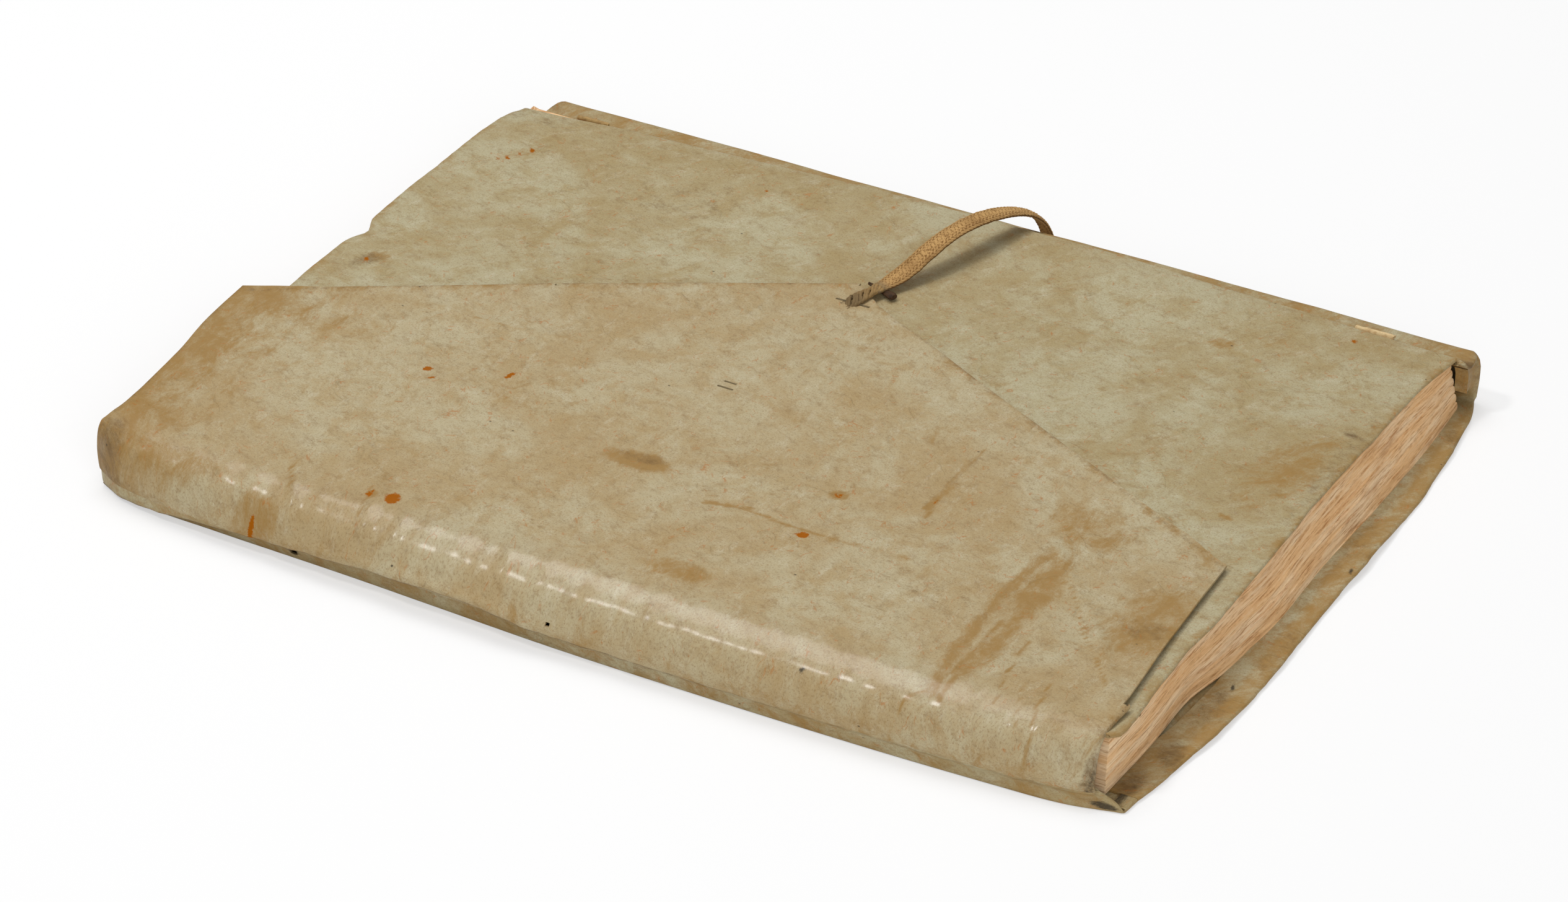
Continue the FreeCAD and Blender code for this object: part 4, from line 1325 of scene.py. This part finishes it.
def leaf_edges():
    """Cut leaf edges: fine lines along the pile, with pale and brown drifts."""
    recipe = Recipe("leaf edges")
    lines = recipe.flat((0.05, 1.0, 1.0))
    drift = recipe.flat((0.10, 1.0, 1.0))
    broad = recipe.noise(drift, 3.6, 4.0, 0.6)
    colour = recipe.coat(LEAF_TAN, LEAF_PALE, recipe.between(broad, 0.42, 0.66, 0.0, 0.8))
    browner = recipe.noise(recipe.flat((0.16, 1.0, 1.0), moved=(1.7, 0.3, 0.0)), 5.2, 5.0, 0.65)
    colour = recipe.coat(colour, LEAF_BROWN, recipe.between(browner, 0.52, 0.74, 0.0, 0.55))
    thin = recipe.noise(lines, 0.62, 6.0, 0.82)
    colour = recipe.coat(colour, LEAF_BROWN, recipe.between(thin, 0.49, 0.62, 0.0, 0.80))
    colour = recipe.coat(colour, LEAF_PALE, recipe.between(thin, 0.47, 0.36, 0.0, 0.60))
    spots = recipe.specks(recipe.flat((0.6, 1.0, 1.0)), 7.0, 0.5, 0.35)
    colour = recipe.coat(colour, UMBER, recipe.sum("MULTIPLY", spots, 0.7))
    normal = recipe.bump(thin, 0.30, 0.8)
    return recipe.finish(colour, 0.86, normal, Specular_IOR_Level=0.2)


leaves.data.materials.append(leaf_edges())
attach(leaves, "book")
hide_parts("text_block")
print("leaves finished")

# %% [markdown]
# ## Sewing
#
# Two flat thongs of tawed skin cross the folds, and linen thread goes over them at every
# gathering. They hide in the gap of the spine, apart from the torn ends that come out along
# the joint. A thong could be a plain box, but then its torn end would be straight. So each
# one is a strip folded along its path, with a ragged end. The thread keeps the frame's shape.

# %% Finish of the sewing
def plain_skin(name, colour, dark, size, rough=0.75, relief=0.25):
    recipe = Recipe(name)
    places = recipe.solid()
    clouds = recipe.noise(places, size, 4.0, 0.6)
    fine = recipe.noise(places, size * 0.18, 4.0, 0.7)
    tone = recipe.coat(colour, dark, recipe.between(clouds, 0.45, 0.70, 0.0, 0.7))
    tone = recipe.coat(tone, dark, recipe.between(fine, 0.52, 0.72, 0.0, 0.6))
    return recipe.finish(tone, rough, recipe.bump(fine, relief, 0.8), Specular_IOR_Level=0.3)


def refinish(node, material):
    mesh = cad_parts[node].data
    mesh.materials.clear()
    mesh.materials.append(material)


# %% Thongs with torn ends
# Each thong has the node that it replaces, its middle and width in millimetres, and a tone.
SLIPS = [
    ("head_slip", "head_sewing_support", -129.5, 11.0, "brown"),
    ("tail_slip", "tail_sewing_support", 130.5, 12.0, "cream"),
]
SLIP_SKIN = 0.8
slip_finish = {
    "cream": plain_skin("cream tawed skin", paint(222, 196, 148), paint(172, 130, 78), 3.0),
    "brown": plain_skin("brown tawed skin", paint(176, 144, 92), paint(122, 88, 44), 3.0),
}

for name, node, middle_x, wide, tone in SLIPS:
    out, rise = soft_value(JOINT_OUT, middle_x), soft_value(JOINT_RISE, middle_x)
    edge_y, edge_z = JOINT_Y + 0.3 + out, COVER_TOP + rise
    slip_line = rounded_line(
        [(JOINT_Y + 0.5, 2.4), (JOINT_Y + 0.5, 15.2), (edge_y + 0.5, edge_z - 0.6),
         (edge_y + 0.9, edge_z + 0.5), (edge_y + 2.8, edge_z - 0.5)], [1.5, 0.4, 0.6])
    slip_stops = distances_along(slip_line)
    slip_columns = places_between([-wide / 2.0, wide / 2.0], 0.4)
    slip = flat_grid(name, slip_columns, places_between([0.0, 1.0], 1.0 / 60.0))

    def slip_place(x, share):
        """Up behind the folds, out through the joint, and torn off along a ragged line."""
        torn = 1.3 * wave(x, middle_x, 1.3, 51.0) + 1.7 * wave(x, middle_x, 4.0, 52.0) - 0.6
        s = min(share * slip_stops[-1], slip_stops[-1] + torn - 0.25 * abs(x) / wide * 4.0)
        centre, along = walk(slip_line, slip_stops, s)
        curl = 0.22 * wave(x, s, 2.0, 53.0) * ease((s - 14.0) / 3.0)
        ragged = 0.5 * wave(s, middle_x, 1.1, 54.0) * abs(2.0 * x / wide) * ease((s - 14.0) / 2.0)
        return Vector((middle_x + x + ragged, centre.x, centre.y + curl))

    fold(slip, slip_place, lambda x, share: (x, share * slip_stops[-1]))
    modifier(slip, "WELD", merge_threshold=0.004 * MM)
    thicken(slip, SLIP_SKIN)
    smooth(slip, 40.0)
    slip.data.materials.append(slip_finish[tone])
    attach(slip, "book")
    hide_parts(node)
    print(name, "faces", len(slip.data.polygons))

refinish("sewing_thread", plain_skin("linen thread", paint(196, 172, 130), paint(120, 92, 56), 1.2))

# %% [markdown]
# ## The tie
#
# A flat tape, braided from coarse brown yarn. The tape is a band wrapped round the tie's
# line. Its yarns lean one way and then the other, column by column, and the small gaps
# between them are darkened with painted shade. A single smooth band with a printed weave would look like
# leather.

# %% Braided tape
TIE_THICKNESS = 1.7 * MM
AROUND = 88
COLUMNS = 7
YARN_PITCH = 1.35
TIE_NARROW = [(0.0, 0.62), (3.0, 0.68), (7.0, 0.86), (12.0, 1.0), (26.0, 1.04), (50.0, 1.0),
              (66.0, 0.88), (91.0, 0.82)]
tie_stops = distances_along(tie_line)
tie_length = tie_stops[-1]


def yarn_height(wide, s):
    """From 0 in a gap to 1 on a yarn, at a place across and along the tape."""
    across = clamp(COLUMNS * (wide + 1.0) / 2.0, 0.0, COLUMNS - 0.001)
    column = math.floor(across)
    share = across - column
    lean = 1.0 if column % 2 else -1.0
    phase = s / YARN_PITCH + lean * (share - 0.5) * 0.9 + 0.25 * wave(s, column * 3.0, 3.0, 45.0)
    strand = 0.5 + 0.5 * math.cos(2.0 * math.pi * phase)
    return math.sin(math.pi * share) ** 0.6 * (0.25 + 0.75 * strand)


def tape_shape(turn_share):
    """Place on a flat oval section, from -1 to 1 across and up."""
    angle = 2.0 * math.pi * turn_share
    wide = math.copysign(abs(math.cos(angle)) ** 0.60, math.cos(angle))
    return wide, math.copysign(abs(math.sin(angle)) ** 0.75, math.sin(angle))


def tape_place(turn_share, s):
    """A place on the tape's skin, round its section and along its line."""
    centre, along = walk(tie_line, tie_stops, clamp(s * MM, 0.0, tie_length))
    lean = math.radians(12.0 * wave(s, 0.0, 22.0, 41.0))
    across = (TIE_ACROSS * math.cos(lean) + Vector((0, 0, 1)) * math.sin(lean)).normalized()
    up = across.cross(along).normalized()
    wide, high = tape_shape(turn_share)
    relief = 0.42 * (yarn_height(wide, s) - 0.75) + 0.12 * wave(s, wide * 4.0, 1.4, 43.0)
    narrow = soft_value(TIE_NARROW, s)
    fluffy = 1.0 + 0.06 * wave(s, wide, 5.0, 44.0) + 0.05 * wave(s, wide * 2.0, 0.8, 46.0)
    cup = 0.30 * (wide * wide - 0.4) * ease((s - 10.0) / 10.0)
    half_height = TIE_THICKNESS / 2.0 - 0.10 * MM
    place = centre + across * (wide * TIE_WIDTH / 2.0 * narrow * fluffy)
    return (place + up * (high * (half_height + relief * MM) - cup * MM)) / MM


tape_columns = places_between([0.0, 1.0], 1.0 / AROUND)
tape_rows = places_between([0.0, tie_length / MM], 0.27)
tape = flat_grid("woven_tie", tape_columns, tape_rows)
# Painted shade: how deep each vertex lies in a gap between the yarns.
gap_shade = [1.0 - yarn_height(tape_shape(vertex.co.x)[0], vertex.co.y) for vertex in tape.data.vertices]
keep_on_vertices(tape, "gap", gap_shade)
fold(tape, tape_place, lambda share, s: (share * 2.0 * TIE_WIDTH / MM, s))
close_holes(tape)
smooth(tape, 60.0)


def woven(name, light, deep, grey):
    """Coarse yarn: paler on top, with painted shade darkening the gaps, and fluff and dirt. On the root
    the gap value holds dirt, not shade.
    """
    recipe = Recipe(name)
    yarns = recipe.noise(recipe.flat((1.0, 0.35, 1.0)), 0.55, 4.0, 0.7)
    fluff = recipe.noise(recipe.flat(), 0.30, 4.0, 0.75)
    drift = recipe.noise(recipe.flat((1.0, 0.5, 1.0)), 7.0, 3.0, 0.6)
    gap = recipe.sum("ADD", recipe.painted("gap"), recipe.between(fluff, 0.3, 0.7, -0.2, 0.2))
    colour = recipe.coat(light, deep, recipe.between(drift, 0.42, 0.68, 0.0, 0.5))
    colour = recipe.coat(colour, deep, recipe.between(yarns, 0.50, 0.66, 0.0, 0.6))
    # Painted shade: darker towards the gaps between yarns, nearly black in the deepest; on the root this
    # value is dirt.
    colour = recipe.coat(colour, deep, recipe.between(gap, 0.52, 0.82, 0.0, 0.85))
    colour = recipe.coat(colour, SOOT_AND_SHADE, recipe.between(gap, 0.84, 1.05, 0.0, 0.85))
    colour = recipe.coat(colour, grey, recipe.between(recipe.painted("worn"), 0.2, 0.9, 0.0, 0.85))
    height = recipe.sum("ADD", recipe.sum("MULTIPLY", yarns, -1.0), recipe.sum("MULTIPLY", fluff, 0.6))
    return recipe.finish(colour, 0.9, recipe.bump(height, 0.35, 1.0), Specular_IOR_Level=0.12)


TAPE_LIGHT = paint(200, 160, 104)
TAPE_DEEP = paint(120, 82, 42)
TAPE_GREY = paint(142, 122, 90)
WORN_REACH = 9.0 * MM
from_root = [(vertex.co - Vector(TIE_POINTS[0])).length for vertex in tape.data.vertices]
worn_share = [1.0 - ease(distance / WORN_REACH) for distance in from_root]
keep_on_vertices(tape, "worn", worn_share)
tape.data.materials.append(woven("woven tie", TAPE_LIGHT, TAPE_DEEP, TAPE_GREY))
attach(tape, "flap")
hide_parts("tie_thong")
print("tape faces", len(tape.data.polygons), "length mm", round(tie_length / MM, 1))

# %% [markdown]
# ## The tie's root and the dark lace
#
# Where the tie comes through the slit its yarns are twisted together, grey and frayed. So
# the root is a bundle of thin tubes that wind round one another, with loose hairs. The lace
# is one flat dark strip that crosses under the tie.

# %% Twisted root
ALONG = Vector((math.sin(TIE_BEARING), math.cos(TIE_BEARING), 0.0))
ROOT_START = TIE_START - ALONG * 10.4
ROOT_LENGTH = 12.5


def tube(name, line, radius, around=8):
    """A closed tube along a line of places in millimetres. Radius is a function of the share."""
    stops = distances_along(line)
    rows = places_between([0.0, 1.0], 1.0 / (len(line) * 2))
    pipe = flat_grid(name, places_between([0.0, 1.0], 1.0 / around), rows)

    def pipe_place(turn_share, share):
        centre, along = walk(line, stops, min(share, 0.9999) * stops[-1])
        side = along.cross(Vector((0, 0, 1)))
        side = side.normalized() if side.length > 0.01 else Vector((1, 0, 0))
        up = side.cross(along).normalized()
        angle = 2.0 * math.pi * turn_share
        return centre + (side * math.cos(angle) + up * math.sin(angle)) * radius(share)

    fold(pipe, pipe_place, lambda turn_share, share: (turn_share * 3.0, share * stops[-1]))
    close_holes(pipe)
    return pipe


def root_axis(s):
    """The middle of the root: out of the slit, over the flap's edge and up to the tape."""
    height = soft_value([(0.0, 18.0), (1.5, 19.2), (4.0, 19.9), (9.0, 20.1), (12.5, 20.25)], s)
    flat_place = ROOT_START + ALONG * s
    return Vector((flat_place.x, flat_place.y, height))


def strand_radius(share):
    """Lumpy yarn, in millimetres."""
    return 0.56 + 0.07 * math.sin(share * 40.0)


STRANDS = 7
HAIRS = 26
chance = random.Random(7)
root_parts = []
for strand in range(STRANDS):
    phase = strand * 2.0 * math.pi / STRANDS
    strand_line = []
    for step in range(34):
        s = ROOT_LENGTH * step / 33.0
        angle = phase + s * 0.62 + 0.5 * noise.noise(Vector((s / 3.0, strand, 0.5)))
        wide = soft_value([(0.0, 1.0), (3.0, 2.0), (7.0, 1.7), (9.5, 1.3), (12.5, 1.7)], s)
        offset = TIE_ACROSS * (wide * math.cos(angle)) + Vector((0, 0, 0.42 * math.sin(angle)))
        strand_line.append(root_axis(s) + offset)
    root_parts.append(tube("root strand", strand_line, strand_radius, 9))
for hair in range(HAIRS):
    s = chance.choice([chance.uniform(0.2, 1.6), chance.uniform(0.5, 11.0)])
    start = root_axis(s) + TIE_ACROSS * chance.uniform(-1.2, 1.2) + Vector((0, 0, 0.3))
    turned = math.radians(chance.uniform(0, 360))
    reach = chance.uniform(1.2, 3.6)
    hair_line = []
    for step in range(6):
        share = step / 5.0
        bend = turned + share * chance.uniform(-0.4, 0.4)
        along = Vector((math.cos(bend), math.sin(bend), 0.0)) * (reach * share)
        hair_line.append(start + along + Vector((0, 0, 0.35 * math.sin(math.pi * share) - 0.25 * share)))
    root_parts.append(tube("root hair", hair_line, lambda share: 0.10 * (1.0 - 0.6 * share), 5))
bpy.ops.object.select_all(action="DESELECT")
for part in root_parts:
    part.select_set(True)
root = root_parts[0]
bpy.context.view_layer.objects.active = root
bpy.ops.object.join()
root.name = "frayed_root"
root_places = [vertex.co / MM for vertex in root.data.vertices]
dirt = [0.25 + 0.5 * abs(wave(place.x, place.y, 1.2, 61.0)) for place in root_places]
wear = [0.75 * (1.0 - ease((place - ROOT_START).length / 11.0)) + 0.25 for place in root_places]
keep_on_vertices(root, "gap", dirt)
keep_on_vertices(root, "worn", wear)
smooth(root, 60.0)
ROOT_LIGHT = paint(172, 140, 92)
ROOT_DEEP = paint(92, 68, 38)
ROOT_GREY = paint(120, 101, 72)
root.data.materials.append(woven("worn tie", ROOT_LIGHT, ROOT_DEEP, ROOT_GREY))
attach(root, "flap")
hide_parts("tie_root")
print("root faces", len(root.data.polygons))

# %% Dark lace
LACE_MIDDLE = TIE_START + ALONG * 3.0
LACE_FOOT = 18.35
LACE_SHAPE = [(0.0, 0.35), (0.25, 0.55), (0.55, 0.9), (0.8, 1.45), (0.93, 1.6), (1.0, 1.1)]


def lace_place(turn_share, share):
    """Flat and frayed: thin at the head side, a thick cut end at the tail side."""
    middle = LACE_MIDDLE + TIE_ACROSS * mix(-5.4, 5.6, share)
    angle = 2.0 * math.pi * turn_share
    wide = soft_value(LACE_SHAPE, share) * (1.0 + 0.25 * wave(share * 11.0, math.cos(angle), 0.9, 71.0))
    high = 0.55 + 0.25 * share
    place = Vector((middle.x, middle.y, LACE_FOOT + high)) + ALONG * (wide * math.cos(angle))
    rough = 1.0 + 0.2 * wave(share * 11.0, angle, 1.0, 72.0)
    return place + Vector((0, 0, high * math.sin(angle) * rough))


lace_columns = places_between([0.0, 1.0], 1.0 / 24.0)
lace = flat_grid("dark_lace", lace_columns, places_between([0.0, 1.0], 1.0 / 40.0))
fold(lace, lace_place, lambda turn_share, share: (turn_share * 6.0, share * 11.0))
close_holes(lace)
smooth(lace, 50.0)
lace.data.materials.append(plain_skin("dark lace", paint(82, 56, 32), paint(36, 23, 14), 1.5, 0.6, 0.4))
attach(lace, "flap")
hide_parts("tie_lace")
print("lace faces", len(lace.data.polygons))
